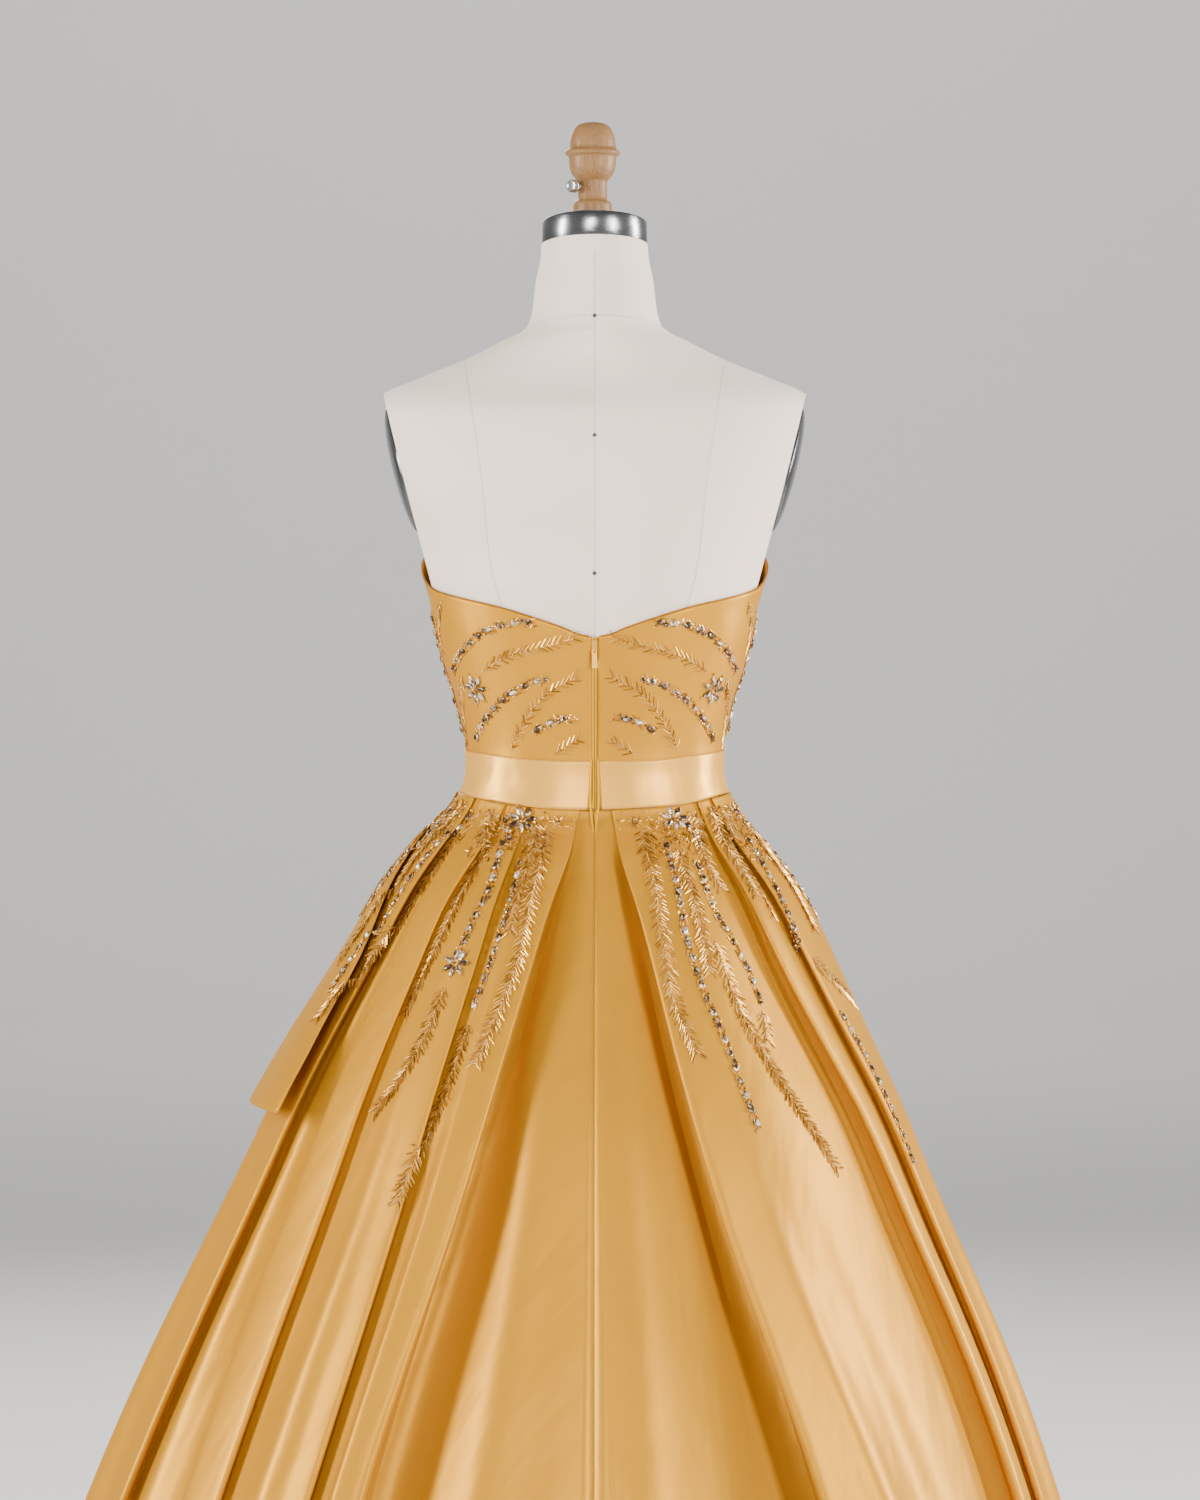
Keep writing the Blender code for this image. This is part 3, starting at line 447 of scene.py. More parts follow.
def torso_angle(z, x, front):
    """Angle at which the torso is a distance from its centre line at a height."""
    low, high = 0.0, 90.0
    for _ in range(24):
        middle = (low + high) / 2
        if torso_ring(z, 180.0 - middle if front else middle).x < x:
            low = middle
        else:
            high = middle
    return 180.0 - low if front else low


# The seam cords' darker colour is painted shade of the seam grooves; the noise is the thread's own texture.
stitched = Finish("linen_seam", LINEN_SHADE, 0.9)
thread = stitched.noise(stitched.place(), 1500.0, 2.0)
stitched.connect("Base Color", stitched.mix(thread * 0.6, SEAM_PAINTED_SHADE, SEAM_DEEPER_PAINTED_SHADE))
stitched.bump(thread, 0.0002)

seam_at = smooth_table([(-z, x) for z, x in PANEL_SEAM])
seam_top, seam_end = PANEL_SEAM[0][0], PANEL_SEAM[-1][0]
seam_lines = []
for front in (False, True):
    for side in (-1, 1):
        seam_lines.append([on_torso(z, side * torso_angle(z, seam_at(-z)[0], front), -SEAM_SUNK)
                           for z in np.linspace(seam_top, seam_end, 60)])
    centre = 180.0 if front else 0.0
    seam_lines.append([on_torso(z, centre, -SEAM_SUNK) for z in np.linspace(CENTRE_SEAM_TOP, seam_end, 60)])
seam_lines.append([
    on_torso(NECK_SEAM_HEIGHT + NECK_SEAM_RISE * math.cos(math.radians(angle)), angle, -SEAM_SUNK)
    for angle in range(0, 361, 5)
])
for side in (-1, 1):
    seam_lines.append([on_torso(z, side * 90.0, -SEAM_SUNK)
                       for z in np.linspace(SHOULDER_SEAM_TOP, ARMHOLE_TOP[1], 24)])
add_piece("linen_seams", tube_mesh("linen_seams", seam_lines, SEAM_RADIUS, 1), stitched, "white_linen")

black = Finish("black_tack", TACK_COLOUR, 0.35)
black.connect("Roughness", 0.3 + black.noise(black.place(), 2000.0) * 0.2)
bm = bmesh.new()
for height in TACK_HEIGHTS:
    spot = Matrix.Translation(on_torso(height, 0.0, TACK_PROUD))
    bmesh.ops.create_uvsphere(bm, u_segments=12, v_segments=8, radius=TACK_RADIUS,
                              matrix=spot @ Matrix.Diagonal((1.0, TACK_FLATNESS, 1.0, 1.0)))
add_piece("form_tacks", finish_mesh("form_tacks", bm), black, "cast_iron")


# Arm plates
# Domed oval plates of brushed steel, pressed from sheet with a thin rim. One is screwed on each of the
# flat faces of the torso, where an arm would be.

PLATE_TALL, PLATE_DEEP, PLATE_DOME, PLATE_DROP = 0.060, 0.046, 0.0095, 0.072
PLATE_RIM, PLATE_SEAT, PLATE_BACK = 0.0015, 0.0003, 0.004
STEEL_COLOUR, STEEL_SHADE = (0.24, 0.247, 0.258), (0.12, 0.124, 0.128)

steel = Finish("brushed_steel", STEEL_COLOUR, 0.3, {"Metallic": 1.0, "Anisotropic": 0.5})
strokes = steel.place(scale=(1.0, 1.0, 30.0), turn=(math.radians(NECK_TILT), 0.0, 0.0))
brushed = steel.noise(strokes, 90.0, 3.0)
steel.connect("Base Color", steel.mix(brushed, STEEL_COLOUR, STEEL_SHADE))
steel.connect("Roughness", 0.13 + brushed * 0.12)
steel.bump(brushed, 0.00006)

dome = [(math.sin(turn), PLATE_DOME * math.cos(turn))
        for turn in (math.radians(7.5 * step) for step in range(12))]
dome += [(1.0, PLATE_RIM), (1.0, PLATE_SEAT), (0.0, PLATE_SEAT)]
for side, node in ((-1, "arm_plate_left"), (1, "arm_plate_right")):
    mesh = turned_mesh(node + "_dome", dome, 72)
    top, normal = armhole_plane(side)
    up = Vector((0.0, -side, 0.0)).cross(normal)
    up = up if up.z > 0 else -up
    axes = Matrix((up.cross(normal) * PLATE_DEEP, up * PLATE_TALL, normal)).transposed().to_4x4()
    mesh.transform(Matrix.Translation(top - PLATE_DROP * up + Vector((0.0, -PLATE_BACK, 0.0))) @ axes)
    add_piece(node + "_dome", mesh, steel, "brushed_steel", node)


# Neck ring and finial
# A spun steel cap that leans forwards with the neck, and a turned beech knob that stands upright on it.
# A steel thumb screw in the knob's stem clamps it on the pole.

CAP_RADIUS, CAP_HEIGHT, CAP_EDGE, CAP_CHAMFER = 0.049, 0.0236, 0.0012, 0.0006
CAP_CROWN, CAP_SHOULDER, CAP_SHOULDER_RISE = 0.0020, 0.034, 0.0012
KNOB_CENTRE = Vector((-0.002, 0.008, 0.0))
# Radius, height
KNOB_PROFILE = (
    (0.0, 1.6840),
    (0.0085, 1.6834),
    (0.0138, 1.6815),
    (0.0172, 1.6782),
    (0.0194, 1.6735),
    (0.0212, 1.6672),
    (0.0224, 1.6590),
    (0.0244, 1.6578),
    (0.0259, 1.6554),
    (0.0244, 1.6530),
    (0.0225, 1.6518),
    (0.0217, 1.6430),
    (0.0196, 1.6362),
    (0.0160, 1.6314),
    (0.0136, 1.6280),
    (0.0138, 1.6116),
    (0.0172, 1.6092),
    (0.0180, 1.6060),
    (0.0183, 1.5920),
)
WOOD_COLOUR, WOOD_GRAIN = (0.25, 0.125, 0.038), (0.08, 0.034, 0.011)
BRIGHT_COLOUR = (0.72, 0.73, 0.75)
SCREW_HEIGHT, SCREW_TURN, SCREW_RADIUS = 1.6233, 35.0, 0.0020
SCREW_HEAD, SCREW_HEAD_START, SCREW_HEAD_END = 0.0062, 0.0176, 0.0265
SCREW_RIDGES, SCREW_RIDGE_DEPTH = 18, 0.0006

cap_profile = [(0.0, CAP_HEIGHT + CAP_CROWN), (CAP_SHOULDER, CAP_HEIGHT + CAP_SHOULDER_RISE)]
cap_profile += [(CAP_RADIUS - CAP_EDGE * (1 - math.sin(turn)), CAP_HEIGHT - CAP_EDGE * (1 - math.cos(turn)))
                for turn in (math.radians(18 * step) for step in range(6))]
cap_profile += [(CAP_RADIUS, CAP_CHAMFER), (CAP_RADIUS - CAP_CHAMFER, 0.0), (0.0, 0.0)]
cap = turned_mesh("neck_ring", cap_profile, 128)
cap.transform(Matrix.Translation(NECK_CENTRE) @ Matrix.Rotation(-math.radians(NECK_TILT), 4, "X"))
add_piece("neck_ring", cap, steel, "brushed_steel", "neck_cap")

wood = Finish("turned_beech", WOOD_COLOUR, 0.5,
              {"Coat Weight": 0.05, "Coat Roughness": 0.3, "Specular IOR Level": 0.35})
fibres = wood.noise(wood.place(scale=(9.0, 9.0, 0.7)), 70.0, 5.0)
flecks = wood.noise(wood.place(scale=(1.0, 1.0, 0.25)), 900.0, 2.0)
lathe = wood.wave(wood.place(), 180.0, "Z", 0.6)
figure = wood.spread(fibres * 0.75 + wood.spread(flecks, 0.55, 0.8) * 0.25, 0.30, 0.75)
wood.connect("Base Color", wood.mix(figure, WOOD_COLOUR, WOOD_GRAIN))
wood.connect("Roughness", 0.34 + fibres * 0.22)
wood.bump(fibres * 0.5 + lathe * 0.25, 0.0004)
reader = smooth_table([(index, *point) for index, point in enumerate(KNOB_PROFILE)])
fine_profile = [tuple(reader(step / 3)) for step in range(3 * (len(KNOB_PROFILE) - 1) + 1)]
knob = turned_mesh("beech_knob", [*fine_profile, (0.0, KNOB_PROFILE[-1][1])], 64)
knob.transform(Matrix.Translation(KNOB_CENTRE))
add_piece("beech_knob", knob, wood, "turned_wood", "neck_finial")

bright = Finish("bright_steel", BRIGHT_COLOUR, 0.16, {"Metallic": 1.0})
bright.connect("Roughness", 0.10 + bright.noise(bright.place(), 700.0) * 0.18)
length = SCREW_HEAD_END - SCREW_HEAD_START
screw = turned_mesh("thumb_knob", (
    (0.0, SCREW_HEAD_END - 0.0006),
    (0.0032, SCREW_HEAD_END - 0.0004),
    (0.0040, SCREW_HEAD_END),
    (SCREW_HEAD - 0.0008, SCREW_HEAD_END - 0.0002),
    (SCREW_HEAD, SCREW_HEAD_END - 0.2 * length),
    (SCREW_HEAD, SCREW_HEAD_START + 0.25 * length),
    (SCREW_HEAD - 0.0010, SCREW_HEAD_START),
    (0.0034, SCREW_HEAD_START - 0.0008),
    (0.0030, 0.0142),
    (SCREW_RADIUS, 0.0140),
    (SCREW_RADIUS, 0.0070),
    (0.0, 0.0068),
), SCREW_RIDGES * 4)
for vert in screw.vertices:
    radius = math.hypot(vert.co.x, vert.co.y)
    if radius > SCREW_HEAD - 0.0009:
        ridge = 0.5 + 0.5 * math.cos(SCREW_RIDGES * math.atan2(vert.co.y, vert.co.x))
        vert.co.xy *= (radius - SCREW_RIDGE_DEPTH * ridge) / radius
turn = math.radians(SCREW_TURN)
aim = Vector((-math.cos(turn), -math.sin(turn), 0.0)).to_track_quat("Z", "Y").to_matrix().to_4x4()
screw.transform(Matrix.Translation(KNOB_CENTRE + Vector((0.0, 0.0, SCREW_HEIGHT))) @ aim)
add_piece("thumb_knob", screw, bright, "bright_steel", "thumb_screw", body="thumb_screw")


# Bodice
# Two back panels and a front of golden duchess satin, boned and lined, cut to a point at the centre back.
# The upper edge is turned over a fine cord; the back panels meet at the zip, and the sides are seamed.

SEAM_HEIGHT, SEAM_DIP_BACK, SEAM_DIP_FRONT = 1.0592, 0.0137, 0.0080
BELT_HEIGHT_SIDE, BELT_HEIGHT_BACK = 0.0391, 0.0443
BODICE_OFFSET, SATIN_WALL, CUP_RISE = 0.0019, 0.0011, 0.0250
ZIP_SLOT, SIDE_GAP = 0.0024, 0.00015
BODICE_ROWS, BODICE_STEP = 26, 2.5
EDGE_CORD, EDGE_DROP, EDGE_STEPS = 0.0009, 0.0004, 240
# Creases above the belt: depth, middle above the belt, reach, ripples in a turn, where they start in degrees
BELT_CREASE, BELT_CREASE_RISE, BELT_CREASE_REACH = 0.0006, 0.006, 0.016
BELT_RIPPLES, BELT_RIPPLE_START = 9.0, 40.0
# Beside the zip: depth, height of the middle, reach up and down, reach aside in degrees, radians a metre
ZIP_CREASE, ZIP_CREASE_HEIGHT, ZIP_CREASE_TALL = 0.0005, 1.190, 0.018
ZIP_CREASE_WIDE, ZIP_RIPPLES = 9.0, 420.0
# Along the side seams: depth, angle, reach aside in degrees, radians a metre, radians a degree
SIDE_CREASE, SIDE_CREASE_ANGLE, SIDE_CREASE_WIDE = 0.0005, 84.0, 7.0
SIDE_RIPPLES, SIDE_SLANT = 150.0, 0.05
RIPPLE_HEIGHT = 1.1  # from here up, the ripples beside the zip and along the sides are counted
SATIN_COLOUR, SATIN_SHADE = (0.530, 0.245, 0.010), (0.430, 0.182, 0.008)
SATIN_TINT = (1.0, 0.65, 0.20, 1.0)
# The neckline cord is the bodice satin coloured darker: painted shade along the turned top edge
PIPING_PAINTED_SHADE, PIPING_DEEPER_PAINTED_SHADE = (0.30, 0.115, 0.004), (0.20, 0.070, 0.003)
# Angle, height of the neckline, the same on both sides
NECKLINE = (
    (0.0, 1.2037),
    (4.0, 1.2058),
    (9.0, 1.2118),
    (15.0, 1.2176),
    (24.0, 1.2250),
    (34.0, 1.2318),
    (46.0, 1.2374),
    (60.0, 1.2430),
    (73.0, 1.2486),
    (84.0, 1.2572),
    (96.0, 1.2690),
    (112.0, 1.2830),
    (132.0, 1.2960),
    (150.0, 1.3010),
    (165.0, 1.2900),
    (175.0, 1.2700),
    (180.0, 1.2660),
)
neckline_height = smooth_table(NECKLINE)


def seam_height(angle):
    """Height of the waist seam: lowest at the centre back and the centre front."""
    level = math.cos(math.radians(angle))
    return SEAM_HEIGHT - (SEAM_DIP_BACK if level > 0 else SEAM_DIP_FRONT) * level * level


def belt_height(angle):
    level = math.cos(math.radians(angle)) ** 2
    return BELT_HEIGHT_SIDE + (BELT_HEIGHT_BACK - BELT_HEIGHT_SIDE) * level


def satin_finish(name, colour, shade, roughness):
    """Duchess satin: fine floating threads, a soft uneven lie and a little sheen."""
    made = Finish(name, colour, roughness,
                  {"Metallic": 0.30, "Specular IOR Level": 0.2, "Specular Tint": SATIN_TINT})
    threads = made.noise(made.cloth_place(scale=(1.0, 0.04, 1.0)), 1400.0, 2.0)
    lie = made.noise(made.cloth_place(scale=(1.0, 0.35, 1.0)), 26.0, 2.0)
    made.connect("Base Color", made.mix(threads * 0.35 + lie * 0.35, colour, shade))
    made.connect("Roughness", threads * 0.10 + (roughness - 0.05))
    made.bump(threads * 0.05 + lie, 0.0016)
    return made


satin = satin_finish("gold_satin", SATIN_COLOUR, SATIN_SHADE, 0.40)


def bodice_ease(angle, z):
    """Small soft creases: beside the zip, above the belt and along the side seams."""
    folded = (angle + 180.0) % 360.0 - 180.0
    waist = seam_height(angle) + belt_height(angle)
    above_belt = math.exp(-((z - waist - BELT_CREASE_RISE) / BELT_CREASE_REACH) ** 2)
    above_belt *= math.sin(math.radians(folded * BELT_RIPPLES + BELT_RIPPLE_START))
    by_zip = math.exp(-(folded / ZIP_CREASE_WIDE) ** 2 - ((z - ZIP_CREASE_HEIGHT) / ZIP_CREASE_TALL) ** 2)
    by_zip *= math.sin((z - RIPPLE_HEIGHT) * ZIP_RIPPLES)
    by_side = math.exp(-((abs(folded) - SIDE_CREASE_ANGLE) / SIDE_CREASE_WIDE) ** 2)
    by_side *= math.sin((z - RIPPLE_HEIGHT) * SIDE_RIPPLES + folded * SIDE_SLANT)
    return BELT_CREASE * above_belt + ZIP_CREASE * by_zip + SIDE_CREASE * by_side


def add_sheet(name, grid, wall, finish, slot, *replaced):
    """Cloth through a grid of points: smoothed, given its thickness, and put in the scene."""
    piece = add_piece(name, finish_mesh(name, woven_bmesh(grid)), finish, slot, *replaced)
    smooth = piece.modifiers.new("Smooth", "SUBSURF")
    smooth.levels = smooth.render_levels = 1
    smooth.boundary_smooth = "PRESERVE_CORNERS"
    thick = piece.modifiers.new("Wall", "SOLIDIFY")
    thick.thickness, thick.offset = wall, 0.0
    return piece


# Piece, solid, first and last angle, gaps at the two ends, flat width and length, flat area
BODICE_PANELS = (
    ("satin_back_right", "bodice_back_right", 0.0, 90.0, ZIP_SLOT, SIDE_GAP, (0.27, 0.22), 0.040),
    ("satin_front", "bodice_front", 90.0, 270.0, SIDE_GAP, SIDE_GAP, (0.56, 0.27), 0.105),
    ("satin_back_left", "bodice_back_left", 270.0, 360.0, SIDE_GAP, ZIP_SLOT, (0.27, 0.22), 0.040),
)
for name, node, first, last, first_gap, last_gap, flat, area in BODICE_PANELS:
    count = round((last - first) / BODICE_STEP)
    angles = [first + (last - first) * column / count for column in range(count + 1)]
    columns = []
    for angle in angles:
        low, high = seam_height(angle), neckline_height(min(angle, 360.0 - angle))[0]
        line = []
        for row in range(BODICE_ROWS + 1):
            z = low + (high - low) * row / BODICE_ROWS
            point = on_torso(z, angle, BODICE_OFFSET + bodice_ease(angle, z), CUP_RISE)
            ahead = on_torso(z, angle + 0.2, BODICE_OFFSET) - on_torso(z, angle - 0.2, BODICE_OFFSET)
            if angle == first:
                point += first_gap * ahead.normalized()
            if angle == last:
                point -= last_gap * ahead.normalized()
            line.append(point)
        columns.append(line)
    panel = add_sheet(name, list(zip(*columns)), SATIN_WALL, satin, "gold_satin", node)

edge_line = []
for step in range(1, EDGE_STEPS):
    angle = 360.0 * step / EDGE_STEPS
    high = neckline_height(min(angle, 360.0 - angle))[0]
    edge_line.append(on_torso(high - EDGE_DROP, angle, BODICE_OFFSET, CUP_RISE))
# The cord's darker satin is painted shade along the top edge.
shaded_piping = satin_finish("satin_edge_painted_shade", PIPING_PAINTED_SHADE, PIPING_DEEPER_PAINTED_SHADE, 0.42)
add_piece("neckline_cord", tube_mesh("neckline_cord", [edge_line], EDGE_CORD), shaded_piping, "gold_satin")


# Zip
# A closed coil zip sewn into the centre back: satin lips fold over its coil, a gold slider sits at the top
# with its tab hanging, and the belt's open ends show the folded facings beside it.

LIP_RADIUS, LIP_PLACE, LIP_OFFSET, ZIP_TOP = 0.00105, 0.00118, 0.0024, 1.2030
COIL_RADIUS = 0.0006
# The lips lie flatter where the tab swings in: depth, height of its middle, reach up and down
TAB_DIP, TAB_MIDDLE, TAB_REACH = 0.0008, 1.1780, 0.0120
GOLD_COLOUR, GOLD_SHADE = (0.80, 0.46, 0.08), (0.48, 0.24, 0.03)
YELLOW_COLOUR, YELLOW_SHADE = (0.62, 0.33, 0.003), (0.42, 0.19, 0.002)
COIL_COLOUR, COIL_DARK, COIL_LIGHT = (0.20, 0.10, 0.03), (0.12, 0.06, 0.02), (0.30, 0.16, 0.05)
# Facings beside the zip: height, distance from the centre line, out from the linen
FACING_LINE = (
    (1.0920, 0.0030, 0.0036),
    (1.0750, 0.0036, 0.0042),
    (1.0550, 0.0038, 0.0048),
    (1.0400, 0.0026, 0.0056),
    (1.0250, 0.0010, 0.0080),
)

yellow = satin_finish("yellow_facing", YELLOW_COLOUR, YELLOW_SHADE, 0.42)


def zip_spot(z, aside=0.0):
    """Point along the closed zip, nearer to the linen behind the tab."""
    near = max(0.0, 1.0 - abs(z - TAB_MIDDLE) / TAB_REACH)
    dip = TAB_DIP * near * near * (3.0 - 2.0 * near)
    return on_torso(z, 0.0, LIP_OFFSET - dip) + Vector((aside, 0.0, 0.0))


heights = np.linspace(ZIP_TOP, seam_height(0.0) + 0.001, 80).tolist()
facing = smooth_table([(-z, x, out) for z, x, out in FACING_LINE])
lips = []
for side in (-1, 1):
    lips.append([zip_spot(z, side * LIP_PLACE) for z in heights])
    line = []
    for z in np.linspace(FACING_LINE[0][0], FACING_LINE[-1][0], 30):
        x, out = facing(-z)
        line.append(on_torso(z, 0.0, out) + Vector((side * x, 0.0, 0.0)))
    lips.append(line)
add_piece("zip_lips", tube_mesh("zip_lips", lips, LIP_RADIUS, 3), yellow, "zip_tape", "zip_tape")

coil = Finish("zip_coil", COIL_COLOUR, 0.5)
teeth = coil.wave(coil.place(), 900.0, "Z")
coil.connect("Base Color", coil.mix(teeth, COIL_DARK, COIL_LIGHT))
coil.bump(teeth, 0.0003)
coil_line = [zip_spot(z) for z in heights]
add_piece("zip_coil_closed", tube_mesh("zip_coil_closed", [coil_line], COIL_RADIUS, 1), coil, "zip_tape")

gold = Finish("gold_enamel", GOLD_COLOUR, 0.28,
              {"Metallic": 0.85, "Coat Weight": 0.4, "Coat Roughness": 0.15})
wear = gold.noise(gold.place(), 500.0, 3.0)
gold.connect("Base Color", gold.mix(gold.spread(wear, 0.4, 0.8) * 0.6, GOLD_COLOUR, GOLD_SHADE))
gold.connect("Roughness", 0.2 + wear * 0.2)
for node in ("zip_slider", "zip_pull"):
    set_finish(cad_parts[node].data, gold)


# Skirt
# Four flared quarters of the same satin, pressed into deep pleats at the waist seam and let go below it,
# so that the edges turn into soft rolled folds that widen down to the floor-length hem.

GAP, HEM_HEIGHT, SKIRT_LENGTH = 0.0003, 0.006, 1.045
WAIST_STACK = 0.00445  # middle of the outermost pressed layer, out from the linen
# Drop that is pressed flat, then the further drop to the full outline and to the full folds
PRESSED, LET_GO, GROWN = 0.004, 0.036, 0.12
# Outline: drop, half width on the left, on the right, depth at the back, at the front
SKIRT_SECTIONS = (
    (0.000, 0.1262, 0.1262, 0.0960, 0.0965),
    (0.040, 0.1590, 0.1550, 0.1370, 0.1340),
    (0.085, 0.1925, 0.1907, 0.1720, 0.1680),
    (0.130, 0.2170, 0.2140, 0.1980, 0.1930),
    (0.175, 0.2430, 0.2346, 0.2210, 0.2150),
    (0.228, 0.2730, 0.2590, 0.2470, 0.2410),
    (0.278, 0.2990, 0.2830, 0.2710, 0.2640),
    (0.318, 0.3165, 0.3000, 0.2870, 0.2800),
    (0.386, 0.3480, 0.3250, 0.3130, 0.3060),
    (0.494, 0.3986, 0.3700, 0.3570, 0.3490),
    (0.662, 0.4696, 0.4266, 0.4150, 0.4050),
    (0.850, 0.5370, 0.4800, 0.4720, 0.4600),
    (1.045, 0.6020, 0.5330, 0.5270, 0.5120),
)
SKIRT_DROPS = (0.0, 0.004, 0.013, 0.024, 0.038, 0.054, 0.074, 0.098, 0.126, 0.158, 0.195, 0.235, 0.280, 0.330,
               0.388, 0.450, 0.520, 0.600, 0.690, 0.790, 0.900, 1.045)
# How each fold grows on the way down: drop, lip radius, depth of its recess, pull of the faces inwards
FOLD_GROWTH = (
    (0.000, 0.0008, 0.0032, 1.00),
    (0.004, 0.0008, 0.0032, 1.00),
    (0.024, 0.0010, 0.0056, 0.95),
    (0.050, 0.0014, 0.0140, 0.88),
    (0.120, 0.0024, 0.0270, 0.74),
    (0.300, 0.0040, 0.0390, 0.45),
    (0.620, 0.0060, 0.0460, 0.30),
    (1.045, 0.0080, 0.0500, 0.25),
)
FOLD_LEAD, FOLD_FOOT = 0.002, 0.0025  # cloth laid flat before a tuck, and floor of its recess past the edge
# Width in which the next face comes up from the recess: at the waist, its gain, drop by which it has that
FACE_RISE, FACE_RISE_GAIN, FACE_RISE_DROP = 0.003, 0.012, 0.6
FOLD_DROPS = (0.0, 0.11, 0.30, 0.62, 1.045)
# Folds in order round the skirt: turn (1: the lip faces +angle), edge angles at FOLD_DROPS, depth of tuck
# at the waist and the hem, strength, drop where its recess opens, width opened for each metre below that,
# plain stretches up to the next fold, angle of a panel seam there
FOLDS = (
    (-1, (-173.0, -168.0, -161.0, -153.0, -148.0), 0.022, 0.030, 1.2, 0.20, 0.14, 2, None),
    (-1, (-143.0, -141.0, -139.0, -136.0, -134.0), 0.014, 0.022, 0.9, 0.30, 0.06, 1, None),
    (-1, (-124.0, -124.0, -125.0, -125.0, -126.0), 0.011, 0.018, 0.7, 0.30, 0.04, 1, None),
    (-1, (-108.0, -108.0, -109.0, -110.0, -111.0), 0.010, 0.018, 0.9, 0.30, 0.05, 2, -90.0),
    (1, (-60.0, -63.0, -66.5, -70.0, -73.0), 0.014, 0.020, 0.4, 0.25, 0.03, 1, None),
    (-1, (-49.0, -55.0, -55.0, -55.0, -56.5), 0.007, 0.011, 1.1, 0.12, 0.05, 1, None),
    (1, (-38.0, -45.0, -46.0, -48.0, -50.5), 0.007, 0.011, 0.3, 0.12, 0.04, 1, None),
    (1, (-27.0, -28.5, -30.5, -34.5, -39.5), 0.010, 0.015, 0.3, 0.70, 0.04, 2, None),
    (1, (-5.0, -13.5, -19.8, -27.5, -31.0), 0.022, 0.014, 1.3, 0.20, 0.15, 1, 0.0),
    (-1, (6.0, 13.0, 19.3, 30.0, 37.0), 0.024, 0.030, 1.3, 0.38, 0.23, 4, None),
    (-1, (46.0, 48.5, 60.0, 68.5, 71.0), 0.010, 0.018, 0.7, 0.16, 0.08, 1, None),
    (-1, (57.0, 60.5, 71.0, 79.0, 82.0), 0.014, 0.018, 0.35, 0.25, 0.03, 2, 90.0),
    (1, (106.0, 107.0, 108.0, 110.0, 111.0), 0.014, 0.018, 0.9, 0.30, 0.05, 1, None),
    (1, (124.0, 124.0, 124.0, 125.0, 126.0), 0.011, 0.018, 0.7, 0.30, 0.04, 1, None),
    (1, (143.0, 141.0, 138.0, 136.0, 135.0), 0.011, 0.022, 0.9, 0.30, 0.06, 2, None),
    (1, (173.0, 168.0, 160.0, 152.0, 148.0), 0.022, 0.030, 1.2, 0.25, 0.15, 1, 180.0),
)
PLAIN_COLUMNS = 4  # columns of points for each plain stretch
# Soft swells in the plain faces: angle near the waist, angle at the hem, half width at the hem in degrees,
# height at the hem, drop where it starts
SWELLS = (
    (-9.0, -17.0, 7.0, 0.010, 0.05),
    (8.0, 9.0, 7.5, 0.008, 0.10),
    (23.0, 47.0, 5.5, 0.016, 0.25),
    (31.0, 56.0, 5.0, -0.010, 0.30),
    (-23.0, -34.0, 3.5, 0.007, 0.20),
    (-36.0, -44.0, 4.0, 0.010, 0.12),
    (-78.0, -82.0, 7.0, 0.014, 0.15),
    (-97.0, -99.0, 7.0, 0.012, 0.15),
    (78.0, 91.0, 6.0, 0.012, 0.20),
    (98.0, 101.0, 6.0, 0.012, 0.15),
    (132.0, 130.0, 4.5, 0.010, 0.20),
    (152.0, 142.0, 4.0, 0.010, 0.20),
    (-152.0, -141.0, 4.0, 0.010, 0.20),
    (-116.0, -118.0, 5.0, 0.010, 0.20),
    (172.0, 165.0, 7.0, 0.010, 0.10),
    (-174.0, -168.0, 7.0, 0.010, 0.10),
)
SWELL_DROP = 0.45  # further drop to a swell's full height
skirt_section = smooth_table(SKIRT_SECTIONS)
fold_growth = smooth_table(FOLD_GROWTH)
fold_edges = [smooth_table(list(zip(FOLD_DROPS, fold[1]))) for fold in FOLDS]


def skirt_ring(drop, angle):
    """Point of the skirt's outermost surface at a drop below the waist seam."""
    left, right, back, front = skirt_section(drop)
    turn = math.radians(angle)
    half = right if math.sin(turn) > 0 else left
    depth = back if math.cos(turn) > 0 else front
    full = Vector((half * math.sin(turn), -depth * math.cos(turn)))
    blend = ease((drop - PRESSED) / LET_GO)
    if blend == 1.0:
        return full
    waist, _ = outwards(lambda a: torso_ring(seam_height(a) - drop, a), angle, WAIST_STACK)
    return waist.lerp(full, blend)


def on_skirt(drop, angle, distance):
    point, metres = outwards(lambda a: skirt_ring(drop, a), angle, distance)
    top = seam_height(angle) - GAP
    return Vector((point.x, point.y, top - (top - HEM_HEIGHT) * drop / SKIRT_LENGTH)), metres


